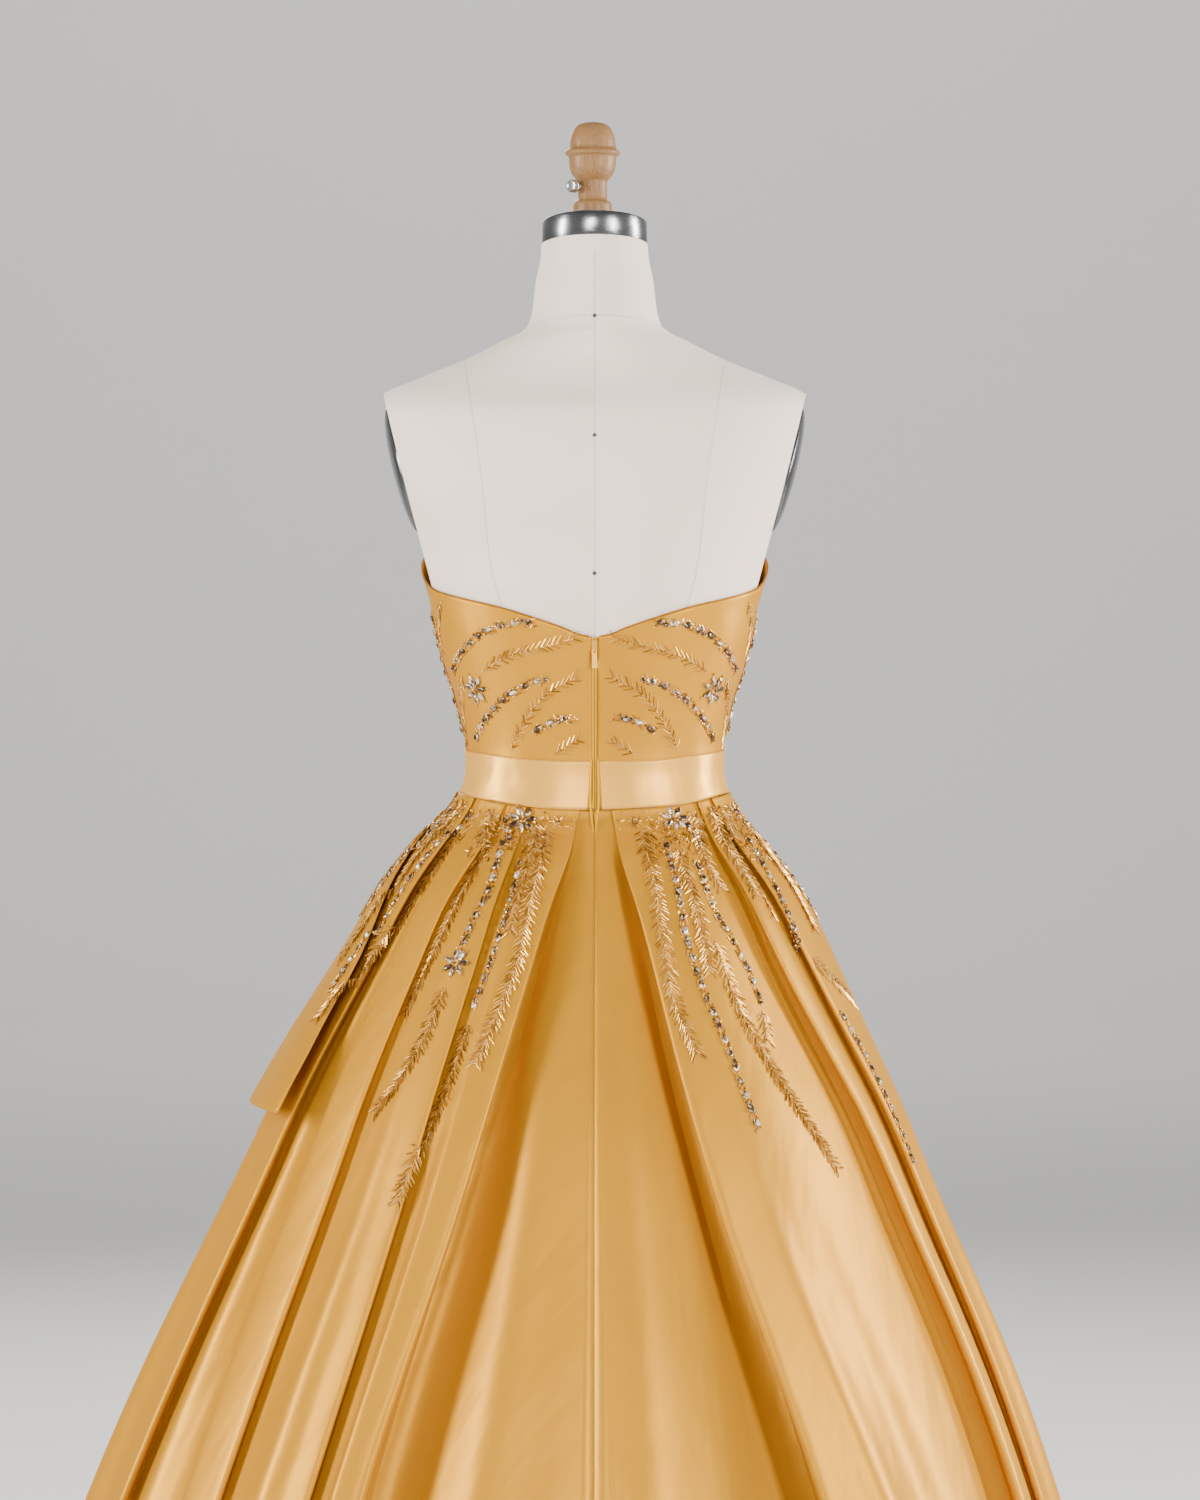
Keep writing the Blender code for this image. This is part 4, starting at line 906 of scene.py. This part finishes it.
def fold_columns(fold, edge, drop):
    """Columns of one fold at a drop, in order of angle: angle and inset from the outer surface."""
    turn, _, tuck_waist, tuck_hem, strength, opens_at, opening = fold[:7]
    lip, depth, pull = fold_growth(drop)
    if drop > PRESSED:
        grown = ease((drop - PRESSED) / GROWN)
        lip *= 1 + (math.sqrt(strength) - 1) * grown
        depth *= 1 + (strength - 1) * grown
    depth = max(depth, 4 * lip)
    tuck = tuck_waist + (tuck_hem - tuck_waist) * ease(drop / SKIRT_LENGTH)
    recess = max(0.0, drop - opens_at) * opening
    rise = FACE_RISE + FACE_RISE_GAIN * ease(drop / FACE_RISE_DROP)
    under = 2 * lip
    roll = [(-lip + lip * math.sin(turned), lip - lip * math.cos(turned))
            for turned in (math.radians(45 * step) for step in range(5))]
    path = (
        (-tuck - FOLD_LEAD - lip, 0.0),
        *roll,
        (-tuck, under + 0.2 * (depth - under) * (1 - pull)),
        (-tuck, depth - 0.2 * (depth - under) * (1 - pull)),
        (FOLD_FOOT + 0.15 * recess, depth),
        (FOLD_FOOT + recess + rise, depth * (0.25 + 0.75 * pull)),
    )
    angle = edge(drop)[0]
    _, metres = on_skirt(drop, angle, 0.0)
    columns = [(angle + turn * u / metres, inset) for u, inset in path]
    return columns if turn > 0 else columns[::-1]


def skirt_columns(drop):
    """All columns round the skirt at a drop, and the places in that list where panels meet."""
    columns, seams = [], []
    pull = fold_growth(drop)[2]
    folds = [fold_columns(fold, edge, drop) for fold, edge in zip(FOLDS, fold_edges)]
    for number, fold in enumerate(FOLDS):
        own, other = folds[number], folds[(number + 1) % len(FOLDS)]
        columns += own
        start = own[-1]
        end = (other[0][0] + (360.0 if number + 1 == len(FOLDS) else 0.0), other[0][1])
        plain, seam = fold[7] * PLAIN_COLUMNS, fold[8]
        stops = [(start, end)]
        if seam is not None:
            middle = (seam, pull * (start[1] + end[1]) / 2)
            stops = [(start, middle), (middle, end)]
        for part, (first, last) in enumerate(stops):
            if part:
                seams.append(len(columns))
                columns += [first, first]
            for step in range(1, plain + 1):
                share = step / (plain + 1)
                angle = first[0] + (last[0] - first[0]) * share
                inset = first[1] + (last[1] - first[1]) * ease(share)
                columns.append((angle, inset * (1 - 0.5 * share * (1 - share))))
    return columns, seams


def swell(drop, angle):
    """How far the soft swells lift the cloth."""
    lift = 0.0
    for waist, hem, width, height, start in SWELLS:
        fall = ease(drop / SKIRT_LENGTH)
        away = abs((angle - waist - (hem - waist) * fall + 180.0) % 360.0 - 180.0)
        reach = width * (0.5 + 0.5 * fall)
        if away < reach:
            lift += height * (1 - (away / reach) ** 2) ** 2 * ease((drop - start) / SWELL_DROP)
    return lift


skirt_grid = []
for drop in reversed(SKIRT_DROPS):
    columns, seams = skirt_columns(drop)
    skirt_grid.append([on_skirt(drop, angle, swell(drop, angle) - inset)[0] for angle, inset in columns])
total = len(skirt_grid[0])
bounds = [seams[-1] + 1 - total] + [seam + 1 for seam in seams]
# Piece, solid
SKIRT_QUARTERS = (
    ("satin_front_left", "skirt_front_left"),
    ("satin_skirt_left", "skirt_back_left"),
    ("satin_skirt_right", "skirt_back_right"),
    ("satin_front_right", "skirt_front_right"),
)
for (name, node), first, following in zip(SKIRT_QUARTERS, bounds, bounds[1:]):
    grid = []
    for line in skirt_grid:
        cut = [line[column % total] for column in range(first, following)]
        cut[0] = cut[0] + GAP / 2 * (cut[1] - cut[0]).normalized()
        cut[-1] = cut[-1] + GAP / 2 * (cut[-2] - cut[-1]).normalized()
        grid.append(cut)
    quarter = add_sheet(name, grid, SATIN_WALL, satin, "gold_satin", node)


# Side panel
# A loose piece of the satin caught in the waist seam at the left side: it falls over the hip like the end
# of a bow, stands off the skirt towards its lower edge, and curls along its back edge.

# Drop, angle of the back edge, angle of the front edge, distance from the skirt
PANEL_ROWS = (
    (0.000, -93.0, -128.0, 0.0021),
    (0.030, -86.0, -128.0, 0.0038),
    (0.070, -76.0, -127.0, 0.0056),
    (0.110, -69.5, -127.0, 0.0078),
    (0.150, -66.0, -127.0, 0.0100),
    (0.190, -64.5, -127.0, 0.0128),
    (0.235, -62.5, -127.0, 0.0160),
    (0.283, -62.0, -127.0, 0.0190),
)
PANEL_STEPS, PANEL_COLUMNS = 28, 36
PANEL_EDGE_CURL, PANEL_CURL_SHARE, PANEL_WAVE = 0.006, 0.22, 0.004
panel_row = smooth_table(PANEL_ROWS)
panel_length = PANEL_ROWS[-1][0]
grid = []
for step in range(PANEL_STEPS + 1):
    drop = panel_length * (1 - step / PANEL_STEPS)
    back_edge, front_edge, distance = panel_row(drop)
    fall = drop / panel_length
    line = []
    for column in range(PANEL_COLUMNS + 1):
        share = 1 - column / PANEL_COLUMNS
        curl = PANEL_EDGE_CURL * ease(1 - share / PANEL_CURL_SHARE) * ease((fall - 0.5) / 0.5)
        wave = PANEL_WAVE * fall * math.sin(2.5 * math.pi * share)
        angle = back_edge + (front_edge - back_edge) * share
        line.append(on_skirt(drop, angle, distance + curl + wave)[0])
    grid.append(line)
panel = add_sheet("satin_side_panel", grid, SATIN_WALL, satin, "gold_satin", "side_panel")


# Waistband
# A wide ribbon of shiny peach satin laid over the waist seam and sewn down along its edges. Its two ends
# stop short of each other at the zip.

RIBBON_OFFSET, RIBBON_WALL = 0.0036, 0.0009
RIBBON_GAP_LOW, RIBBON_GAP_HIGH = 0.0065, 0.0037
RIBBON_COLUMNS, RIBBON_ROWS, RIBBON_FLAT = 240, 8, (0.044, 0.76)
RIBBON_COLOUR, RIBBON_SHADE = (0.76, 0.390, 0.060), (0.64, 0.295, 0.035)
# Shallow wrinkles: angle, height up the ribbon from 0 to 1, half width in degrees, half height, depth, slant
WRINKLES = (
    (-48.0, 0.62, 7.0, 0.30, 0.0010, 9.0),
    (-36.0, 0.40, 5.0, 0.22, -0.0007, 6.0),
    (-60.0, 0.35, 6.0, 0.30, 0.0008, -6.0),
    (52.0, 0.55, 12.0, 0.60, 0.0009, 10.0),
    (30.0, 0.50, 10.0, 0.60, -0.0004, 4.0),
    (-15.0, 0.45, 9.0, 0.50, 0.0004, 3.0),
    (120.0, 0.55, 8.0, 0.40, 0.0008, 6.0),
    (-130.0, 0.45, 9.0, 0.40, 0.0008, -6.0),
    (170.0, 0.55, 10.0, 0.50, 0.0006, 4.0),
)


def edge_angle(z, offset, half_gap):
    """Angle at which a ring round the torso is half a gap from the centre line at the back."""
    angle = 1.0
    for _ in range(20):
        angle *= half_gap / on_torso(z, angle, offset).x
    return angle


def wrinkle(angle, share):
    lift = 0.0
    for at, level, width, tall, depth, slant in WRINKLES:
        across = ((angle - at + 180.0) % 360.0 - 180.0 - slant * (share - level)) / width
        lift += depth * math.exp(-across ** 2 - ((share - level) / tall) ** 2)
    return lift


ribbon = satin_finish("peach_ribbon", RIBBON_COLOUR, RIBBON_SHADE, 0.33)
grid = []
for row in range(RIBBON_ROWS + 1):
    share = row / RIBBON_ROWS
    half_gap = RIBBON_GAP_LOW + (RIBBON_GAP_HIGH - RIBBON_GAP_LOW) * share
    start = edge_angle(seam_height(0.0), RIBBON_OFFSET, half_gap)
    line = []
    for column in range(RIBBON_COLUMNS + 1):
        angle = start + (360.0 - 2 * start) * column / RIBBON_COLUMNS
        edge = abs(2 * share - 1) ** 4
        drift = 0.0005 * edge * math.sin(math.radians(angle * 7.0 + 90.0 * share))
        z = seam_height(angle) + belt_height(angle) * share + drift
        line.append(on_torso(z, angle, RIBBON_OFFSET + wrinkle(angle, share) * (1 - 0.6 * edge)))
    grid.append(line)
band = add_sheet("peach_waist_ribbon", grid, RIBBON_WALL, ribbon, "peach_ribbon", "waistband")


# Beadwork
# Hand-sewn sprays of beads: fern leaves of glass bugles along a stem, chains of rose-gold seed beads with
# faceted stones, and flowers of long stones. They fan out over the bodice and down from the waist.

BUGLE_LENGTH, BUGLE_RADIUS, BUGLE_PITCH, BUGLE_SPLAY = 0.0060, 0.00056, 0.0034, 38.0
OPEN_LENGTH, OPEN_PITCH = 0.0078, 0.0052  # longer and further apart where a fern has one row of bugles
SEED_RADIUS, SEED_PITCH, CHAIN_WIDTH, STONE_PITCH = 0.00110, 0.0020, 0.0036, 0.0135
STONE_WIDTH, STONE_LENGTH, STONE_HEIGHT = 0.0060, 0.0086, 0.0034
STONE_LIFT = 0.0004
FLOWER_PETALS, FLOWER_RADIUS, PETAL_WIDTH, PETAL_LENGTH = 7, 0.0112, 0.0058, 0.0102
ROSETTE_PETALS, CENTRE_SEEDS = 11, 8
FIELD_DENSITY = 230  # beads for each degree by metre of a field
REACH, BELOW = 0.060, 0.012  # how far outside the cloth a stitch is looked for from, and how far inside
# Gold tones that vary from bead to bead; the darkest of them are painted shade between the beads
BUGLE_TONES_AND_PAINTED_SHADE = ((0.74, 0.42, 0.07), (0.60, 0.30, 0.04), (0.86, 0.54, 0.14), (0.24, 0.10, 0.014),
                 (0.44, 0.20, 0.025))
SEED_TONES_AND_PAINTED_SHADE = ((0.68, 0.36, 0.09), (0.86, 0.56, 0.22), (0.18, 0.07, 0.015), (0.42, 0.19, 0.04))
# Stone facets take these colours one by one at random: near-black and white facets are painted reflections in
# the glass; smoky stones are also dark in themselves
CLEAR_PAINTED_REFLECTIONS = ((0.97, 0.90, 0.80), (0.46, 0.34, 0.21), (0.04, 0.03, 0.02), (0.70, 0.54, 0.36),
                 (0.14, 0.09, 0.05))
SMOKE_TONE_AND_PAINTED_REFLECTIONS = ((0.02, 0.015, 0.01), (0.05, 0.035, 0.02), (0.62, 0.52, 0.40), (0.12, 0.07, 0.04),
                 (0.03, 0.02, 0.02))
GLASS_COLOUR, GLITTER_COLOUR = (0.70, 0.40, 0.10), (0.40, 0.18, 0.04)
# What is sewn, then the angle and height of each place along it, in order
BODICE_SPRAYS = (
    ("chain", (-71.0, 1.171), (-54.0, 1.193), (-40.0, 1.209), (-28.0, 1.216), (-19.0, 1.217)),
    ("fern", (-46.0, 1.172), (-30.0, 1.187), (-17.0, 1.194), (-6.0, 1.202)),
    ("flower", (-54.0, 1.155)),
    ("chain", (-65.0, 1.107), (-53.0, 1.126), (-40.0, 1.144), (-26.0, 1.159), (-16.0, 1.166)),
    ("fern", (-38.0, 1.099), (-29.0, 1.125), (-18.0, 1.150), (-6.0, 1.166)),
    ("chain", (-26.0, 1.116), (-15.0, 1.127), (-6.0, 1.130)),
    ("fern", (-16.0, 1.096), (-6.0, 1.110)),
    ("fern", (-62.0, 1.168), (-74.0, 1.135), (-80.0, 1.102)),
    ("fern", (-66.0, 1.236), (-75.0, 1.214), (-79.0, 1.190)),
    ("chain", (-83.0, 1.228), (-88.0, 1.172), (-87.0, 1.112)),
)
# The same for the skirt, with drops for heights. A field has two corners.
SKIRT_SPRAYS = (
    ("fern", (-43.0, 0.006), (-41.0, 0.045), (-42.0, 0.100), (-44.0, 0.160), (-45.0, 0.190)),
    ("chain", (-33.0, 0.030), (-31.0, 0.075), (-33.0, 0.105), (-34.0, 0.135)),
    ("flower", (-34.0, 0.140)),
    ("fern", (-35.0, 0.160), (-36.0, 0.205), (-39.0, 0.245), (-43.0, 0.275)),
    ("chain", (-25.0, 0.045), (-24.0, 0.085), (-25.0, 0.125), (-27.0, 0.180)),
    ("fern", (-27.0, 0.190), (-28.0, 0.235), (-30.0, 0.285), (-32.0, 0.345)),
    ("fern", (-17.0, 0.018), (-17.5, 0.080), (-18.0, 0.125), (-20.0, 0.170), (-23.0, 0.225)),
    ("rosette", (-13.0, 0.012)),
    ("field", (-33.0, 0.008), (-16.0, 0.040)),
    ("field", (-46.0, 0.006), (-36.0, 0.050)),
    ("field", (-90.0, 0.006), (-62.0, 0.045)),
    ("fern", (-52.0, 0.010), (-53.0, 0.040)),
    ("flower", (-27.0, 0.012)),
    ("chain", (-36.0, 0.010), (-29.0, 0.036)),
    ("fern", (-21.0, 0.012), (-21.5, 0.060), (-21.5, 0.110)),
    ("chain", (-57.0, 0.012), (-64.0, 0.050), (-67.0, 0.096), (-70.0, 0.180)),
    ("fern", (-66.0, 0.012), (-72.0, 0.050), (-73.0, 0.095), (-76.0, 0.150)),
    ("chain", (-76.0, 0.012), (-80.0, 0.050), (-81.0, 0.105)),
    ("fern", (-86.0, 0.012), (-86.0, 0.060), (-84.0, 0.110)),
    ("fern", (-60.0, 0.030), (-61.5, 0.075), (-64.0, 0.140), (-67.0, 0.200)),
    ("rosette", (14.0, 0.012)),
    ("field", (19.0, 0.008), (44.0, 0.045)),
    ("field", (50.0, 0.008), (82.0, 0.060)),
    ("fern", (52.0, 0.008), (51.0, 0.040), (51.0, 0.085)),
    ("flower", (31.0, 0.012)),
    ("chain", (36.0, 0.014), (41.0, 0.034)),
    ("fern", (17.5, 0.018), (18.0, 0.054), (17.5, 0.097), (17.5, 0.154), (21.0, 0.215)),
    ("chain", (26.0, 0.030), (25.0, 0.064), (23.5, 0.108), (25.0, 0.153), (28.0, 0.205), (31.0, 0.285)),
    ("fern", (30.0, 0.038), (29.0, 0.076), (28.0, 0.145)),
    ("chain", (36.0, 0.050), (35.0, 0.089), (38.0, 0.118), (41.0, 0.150), (42.0, 0.180)),
    ("fern", (41.5, 0.184), (40.0, 0.210)),
    ("fern", (45.0, 0.180), (48.0, 0.205), (52.0, 0.240), (57.0, 0.275)),
    ("fern", (32.0, 0.120), (34.0, 0.176), (39.0, 0.236), (46.0, 0.302), (56.0, 0.402)),
    ("fern", (44.0, 0.010), (41.0, 0.052), (43.0, 0.100), (51.0, 0.180)),
    ("fern", (61.0, 0.010), (57.0, 0.052), (55.0, 0.106)),
    ("chain", (71.0, 0.012), (80.0, 0.045), (82.0, 0.080), (87.0, 0.118)),
    ("chain", (66.0, 0.036), (62.0, 0.076), (61.0, 0.112), (62.0, 0.145)),
    ("fern", (64.0, 0.146), (70.0, 0.166), (80.0, 0.190)),
    ("fern", (76.0, 0.030), (74.0, 0.070), (74.0, 0.120)),
    ("chain", (67.0, 0.195), (71.0, 0.248), (73.0, 0.335)),
)
FRONT_LIFT = 0.045  # how much higher the bodice's sprays sit at the front
FRONT_SPREAD = 62.0  # sprays within this angle of the centre back have a like one at the front


def bead_mesh(build):
    """Small mesh of one bead, as an array of points and a list of faces."""
    bm = bmesh.new()
    build(bm)
    points = np.array([tuple(vert.co) for vert in bm.verts])
    faces = [[vert.index for vert in face.verts] for face in bm.faces]
    bm.free()
    return points, faces


def bugle(bm):
    lie = Matrix.Rotation(math.radians(90), 4, "X")
    bmesh.ops.create_cone(bm, cap_ends=True, segments=6, radius1=1.0, radius2=1.0, depth=1.0, matrix=lie)


def seed(bm):
    bmesh.ops.create_icosphere(bm, subdivisions=1, radius=1.0, matrix=Matrix.Diagonal((1.0, 1.0, 0.8, 1.0)))


def stone(bm):
    """Flat table, two rows of facets and a short girdle."""
    half_facet = Matrix.Rotation(math.radians(22.5), 3, "Z")
    bmesh.ops.create_cone(bm, cap_ends=True, segments=8, radius1=0.5, radius2=0.5, depth=0.25,
                          matrix=Matrix.Translation((0.0, 0.0, 0.125)))
    table = [face for face in bm.faces if face.normal.z > 0.9]
    for inset, lift in ((0.13, 0.30), (0.12, 0.22)):
        bmesh.ops.inset_region(bm, faces=table, thickness=inset, use_even_offset=True)
        bmesh.ops.translate(bm, verts=table[0].verts[:], vec=(0.0, 0.0, lift))
        bmesh.ops.rotate(bm, verts=table[0].verts[:], cent=(0, 0, 0), matrix=half_facet)


# Mesh, colours (bead tones with painted shade; for stones, painted reflections), whether each facet has its
# own
BEADS = {
    "bugle": (bead_mesh(bugle), BUGLE_TONES_AND_PAINTED_SHADE, False),
    "seed": (bead_mesh(seed), SEED_TONES_AND_PAINTED_SHADE, False),
    "clear": (bead_mesh(stone), CLEAR_PAINTED_REFLECTIONS, True),
    "smoke": (bead_mesh(stone), SMOKE_TONE_AND_PAINTED_REFLECTIONS, True),
}
rng = np.random.default_rng(11)


def surface_of(*names):
    """Ray-cast trees of the finished cloth of these pieces."""
    graph = bpy.context.evaluated_depsgraph_get()
    return [BVHTree.FromObject(bpy.data.objects[name], graph) for name in names]


def stitch(trees, place, level, angle):
    """Point and outward normal where a thread goes through the outermost cloth, or None over a deep fold."""
    outer, inner = place(level, angle, REACH), place(level, angle, 0.0)
    inwards = (inner - outer).normalized()
    hits = [tree.ray_cast(outer, inwards, REACH + BELOW) for tree in trees]
    hits = [hit for hit in hits if hit[0] is not None]
    if not hits:
        return None
    point, normal = min(hits, key=lambda hit: hit[3])[:2]
    return (*point, *(normal if normal.dot(inwards) < 0 else -normal))


def stitch_line(trees, place, spots):
    """Points and normals along a smooth line through spots of angle and level."""
    reader = smooth_table([(float(index), *spot) for index, spot in enumerate(spots)])
    steps = 36 * (len(spots) - 1)
    found = [stitch(trees, place, level, angle)
             for angle, level in (reader(step * (len(spots) - 1) / steps) for step in range(steps + 1))]
    return np.array([hit for hit in found if hit])


def stations(line, pitch):
    """Point, normal and forward direction at equal steps along a stitched line."""
    if len(line) < 2:
        return
    lengths = np.concatenate([[0.0], np.cumsum(np.linalg.norm(np.diff(line[:, :3], axis=0), axis=1))])
    for at in np.arange(pitch / 2, lengths[-1], pitch):
        here, ahead = (np.array([np.interp(x, lengths, line[:, k]) for k in range(6)])
                       for x in (at, at + pitch / 2))
        point, normal = Vector(here[:3]), Vector(here[3:]).normalized()
        forward = Vector(ahead[:3]) - point
        forward = (forward - forward.dot(normal) * normal).normalized()
        yield point, normal, forward


def frame_at(point, normal, forward, turn=0.0, size=(1.0, 1.0, 1.0)):
    """Matrix with +Y along forward turned about the normal, +Z along the normal, and a size each way."""
    ahead = Matrix.Rotation(turn, 3, normal) @ forward
    across = ahead.cross(normal)
    turned = Matrix((across * size[0], ahead * size[1], normal * size[2])).transposed().to_4x4()
    return np.array(Matrix.Translation(point) @ turned)


def sew_seed(sewn, point, normal, forward, size=SEED_RADIUS, lift=0.6):
    """One seed bead, its middle lifted off the cloth by a share of its size."""
    sewn["seed"].append(frame_at(point + normal * size * lift, normal, forward, size=(size,) * 3))


def sew_bugle(sewn, point, normal, forward, turn, length, lift=1.0):
    """One bugle lying on the cloth, its middle lifted by a share of its radius."""
    size = (BUGLE_RADIUS, length, BUGLE_RADIUS)
    sewn["bugle"].append(frame_at(point + normal * BUGLE_RADIUS * lift, normal, forward, turn, size))


def sew_stone(sewn, kind, point, normal, forward, turn, width, length):
    size = (width, length, STONE_HEIGHT * width / STONE_WIDTH)
    sewn[kind].append(frame_at(point + normal * STONE_LIFT, normal, forward, turn, size))


def sew_fern(sewn, line, rows):
    """Bugles in a herringbone on both sides of a beaded stem, in one row or in an inner and an outer one."""
    for point, normal, forward in stations(line, SEED_PITCH):
        sew_seed(sewn, point, normal, forward, SEED_RADIUS * 0.75, 2 / 3)
    longest, pitch = (OPEN_LENGTH, OPEN_PITCH) if rows == 1 else (BUGLE_LENGTH, BUGLE_PITCH)
    for point, normal, forward in stations(line, pitch):
        for side in (-1, 1):
            for row in range(rows):
                length = longest * rng.uniform(0.8, 1.15)
                turn = side * math.radians(BUGLE_SPLAY * rng.uniform(0.75, 1.25) * (1 + 0.15 * row))
                ahead = Matrix.Rotation(turn, 3, normal) @ forward
                out = length * 0.5 + SEED_RADIUS + row * BUGLE_LENGTH * rng.uniform(0.6, 0.85)
                sew_bugle(sewn, point + ahead * out, normal, forward, turn, length, 1 + 0.6 * row)


def sew_field(sewn, trees, place, first, last):
    """Short bugles and seeds scattered between two corners, mostly pointing down."""
    for number in range(int(abs(last[0] - first[0]) * (last[1] - first[1]) * FIELD_DENSITY)):
        share, fall = rng.random(2)
        angle = first[0] + (last[0] - first[0]) * share
        spot = stitch(trees, place, first[1] + (last[1] - first[1]) * fall, angle)
        if spot is None:
            continue
        point, normal = Vector(spot[:3]), Vector(spot[3:]).normalized()
        down = (Vector((0.0, 0.0, -1.0)) + normal.z * normal).normalized()
        if number % 3:
            sew_bugle(sewn, point, normal, down, rng.normal(0.0, 0.7), BUGLE_LENGTH * 0.7)
        else:
            sew_seed(sewn, point, normal, down)


def sew_chain(sewn, line):
    """A band of seeds and a few bugles, with stones in ones and twos along its middle."""
    for point, normal, forward in stations(line, SEED_PITCH * 0.5):
        across = forward.cross(normal) * rng.uniform(-1.0, 1.0) * CHAIN_WIDTH
        sew_seed(sewn, point + across, normal, forward, SEED_RADIUS * rng.uniform(0.7, 1.15))
    for point, normal, forward in stations(line, BUGLE_PITCH):
        across = forward.cross(normal) * rng.choice((-1.0, 1.0)) * CHAIN_WIDTH
        sew_bugle(sewn, point + across, normal, forward, rng.normal(0.0, 0.6), BUGLE_LENGTH * 0.6)
    for number, (point, normal, forward) in enumerate(stations(line, STONE_PITCH)):
        kind = "clear" if number % 2 else "smoke"
        grown = rng.uniform(0.8, 1.1)
        turn = rng.uniform(-0.3, 0.3)
        sew_stone(sewn, kind, point, normal, forward, turn, STONE_WIDTH * grown, STONE_LENGTH * grown)
        if number % 3 == 1:
            beside = point + forward * STONE_LENGTH * 0.9 + forward.cross(normal) * rng.uniform(-0.002, 0.002)
            sew_stone(sewn, "smoke", beside, normal, forward, 0.3, STONE_WIDTH * 0.7, STONE_WIDTH * 0.75)


def sew_flower(sewn, trees, place, angle, level, petals):
    """Long stones, or short bugles for a rosette, round a small centre set on the cloth, all laid in the
    cloth's plane there.
    """
    spot = stitch(trees, place, level, angle)
    if spot is None:
        return
    point, normal = Vector(spot[:3]), Vector(spot[3:]).normalized()
    up = (Vector((0.0, 0.0, 1.0)) - normal.z * normal).normalized()
    for number in range(petals):
        ahead = Matrix.Rotation(2 * math.pi * number / petals + 0.3, 3, normal) @ up
        if petals == FLOWER_PETALS:
            middle = point + ahead * FLOWER_RADIUS * 0.78
            kind = "smoke" if number % 3 == 2 else "clear"
            sew_stone(sewn, kind, middle, normal, ahead, 0.0, PETAL_WIDTH, PETAL_LENGTH)
        else:
            for ring, lift in ((0.45, 1.9), (1.0, 1.4)):
                middle = point + ahead * FLOWER_RADIUS * ring
                sew_bugle(sewn, middle, normal, ahead, 0.5 * ring, BUGLE_LENGTH * 0.55, lift)
        sew_seed(sewn, point + ahead * FLOWER_RADIUS * 1.4, normal, ahead)
    for number in range(CENTRE_SEEDS):
        ahead = Matrix.Rotation(2 * math.pi * number / CENTRE_SEEDS, 3, normal) @ up
        sew_seed(sewn, point + ahead * SEED_RADIUS * 2.3, normal, ahead, lift=1.4)


def sew(sprays, trees, place, rows):
    """Matrices of every bead and stone of these sprays, by kind."""
    sewn = {kind: [] for kind in BEADS}
    for what, *spots in sprays:
        if what == "fern":
            sew_fern(sewn, stitch_line(trees, place, spots), rows)
        elif what == "field":
            sew_field(sewn, trees, place, *spots)
        elif what == "chain":
            sew_chain(sewn, stitch_line(trees, place, spots))
        else:
            sew_flower(sewn, trees, place, *spots[0], FLOWER_PETALS if what == "flower" else ROSETTE_PETALS)
    return sewn


def beadwork_mesh(name, sewn):
    """One mesh of all the beads, each coloured from its kind's colours, a stone facet by facet: its dark and
    bright facets are painted reflections.
    """
    points, faces, bead_tones_and_painted_light, count = [], [], [], 0
    for kind, matrices in sewn.items():
        (bead, bead_faces), colours, faceted = BEADS[kind]
        for matrix in matrices:
            points.append(bead @ matrix[:3, :3].T + matrix[:3, 3])
            faces += [[count + index for index in face] for face in bead_faces]
            picks = rng.integers(len(colours), size=len(bead_faces) if faceted else 1)
            for number, face in enumerate(bead_faces):
                bead_tones_and_painted_light += [(*colours[picks[number if faceted else 0]], 1.0)] * len(face)
            count += len(bead)
    mesh = bpy.data.meshes.new(name)
    mesh.from_pydata(np.concatenate(points).tolist(), [], faces)
    shade = mesh.color_attributes.new("shade", "FLOAT_COLOR", "CORNER")
    shade.data.foreach_set("color", np.array(bead_tones_and_painted_light, dtype=np.float32).ravel())
    return mesh


glass = Finish("beads", GLASS_COLOUR, 0.18, {"Metallic": 0.8, "Specular IOR Level": 0.5})
# The colour attribute holds each bead's tone and painted shade, and each stone facet's painted reflection.
shade = glass.node("ShaderNodeAttribute", {"attribute_name": "shade"}, {})
glitter = glass.noise(glass.place(), 1300.0, 2.0)
glass.connect("Base Color", glass.mix(glitter * 0.2, shade, GLITTER_COLOUR))
glass.connect("Roughness", 0.21 + glitter * 0.25)


def mirrored(sprays):
    return tuple((what, *((-angle, level) for angle, level in spots)) for what, *spots in sprays)


def to_front(sprays, lift):
    """Like sprays for the front, from those near the centre back."""
    near = [spray for spray in sprays if max(abs(angle) for angle, _ in spray[1:]) < FRONT_SPREAD]
    return tuple((what, *((180.0 - angle, level + lift) for angle, level in spots)) for what, *spots in near)


def bodice_place(level, angle, distance):
    return on_torso(level, angle, distance, CUP_RISE)


def skirt_place(level, angle, distance):
    return on_skirt(level, angle, distance)[0]


bodice_trees = surface_of("satin_back_left", "satin_back_right", "satin_front")
skirt_trees = surface_of("satin_skirt_left", "satin_skirt_right", "satin_front_left", "satin_front_right",
                         "satin_side_panel")
both_sides = BODICE_SPRAYS + mirrored(BODICE_SPRAYS)
left_skirt = tuple(spray for spray in SKIRT_SPRAYS if spray[1][0] < 0)
right_skirt = tuple(spray for spray in SKIRT_SPRAYS if spray[1][0] > 0)
for name, sprays, trees, place, rows in (
    ("bodice_beads_back", both_sides, bodice_trees, bodice_place, 1),
    ("bodice_beads_front", to_front(both_sides, FRONT_LIFT), bodice_trees, bodice_place, 1),
    ("skirt_beads_left", left_skirt, skirt_trees, skirt_place, 2),
    ("skirt_beads_right", right_skirt, skirt_trees, skirt_place, 2),
    ("skirt_beads_front", to_front(SKIRT_SPRAYS, 0.0), skirt_trees, skirt_place, 2),
):
    add_piece(name, beadwork_mesh(name, sew(sprays, trees, place, rows)), glass, "beads")
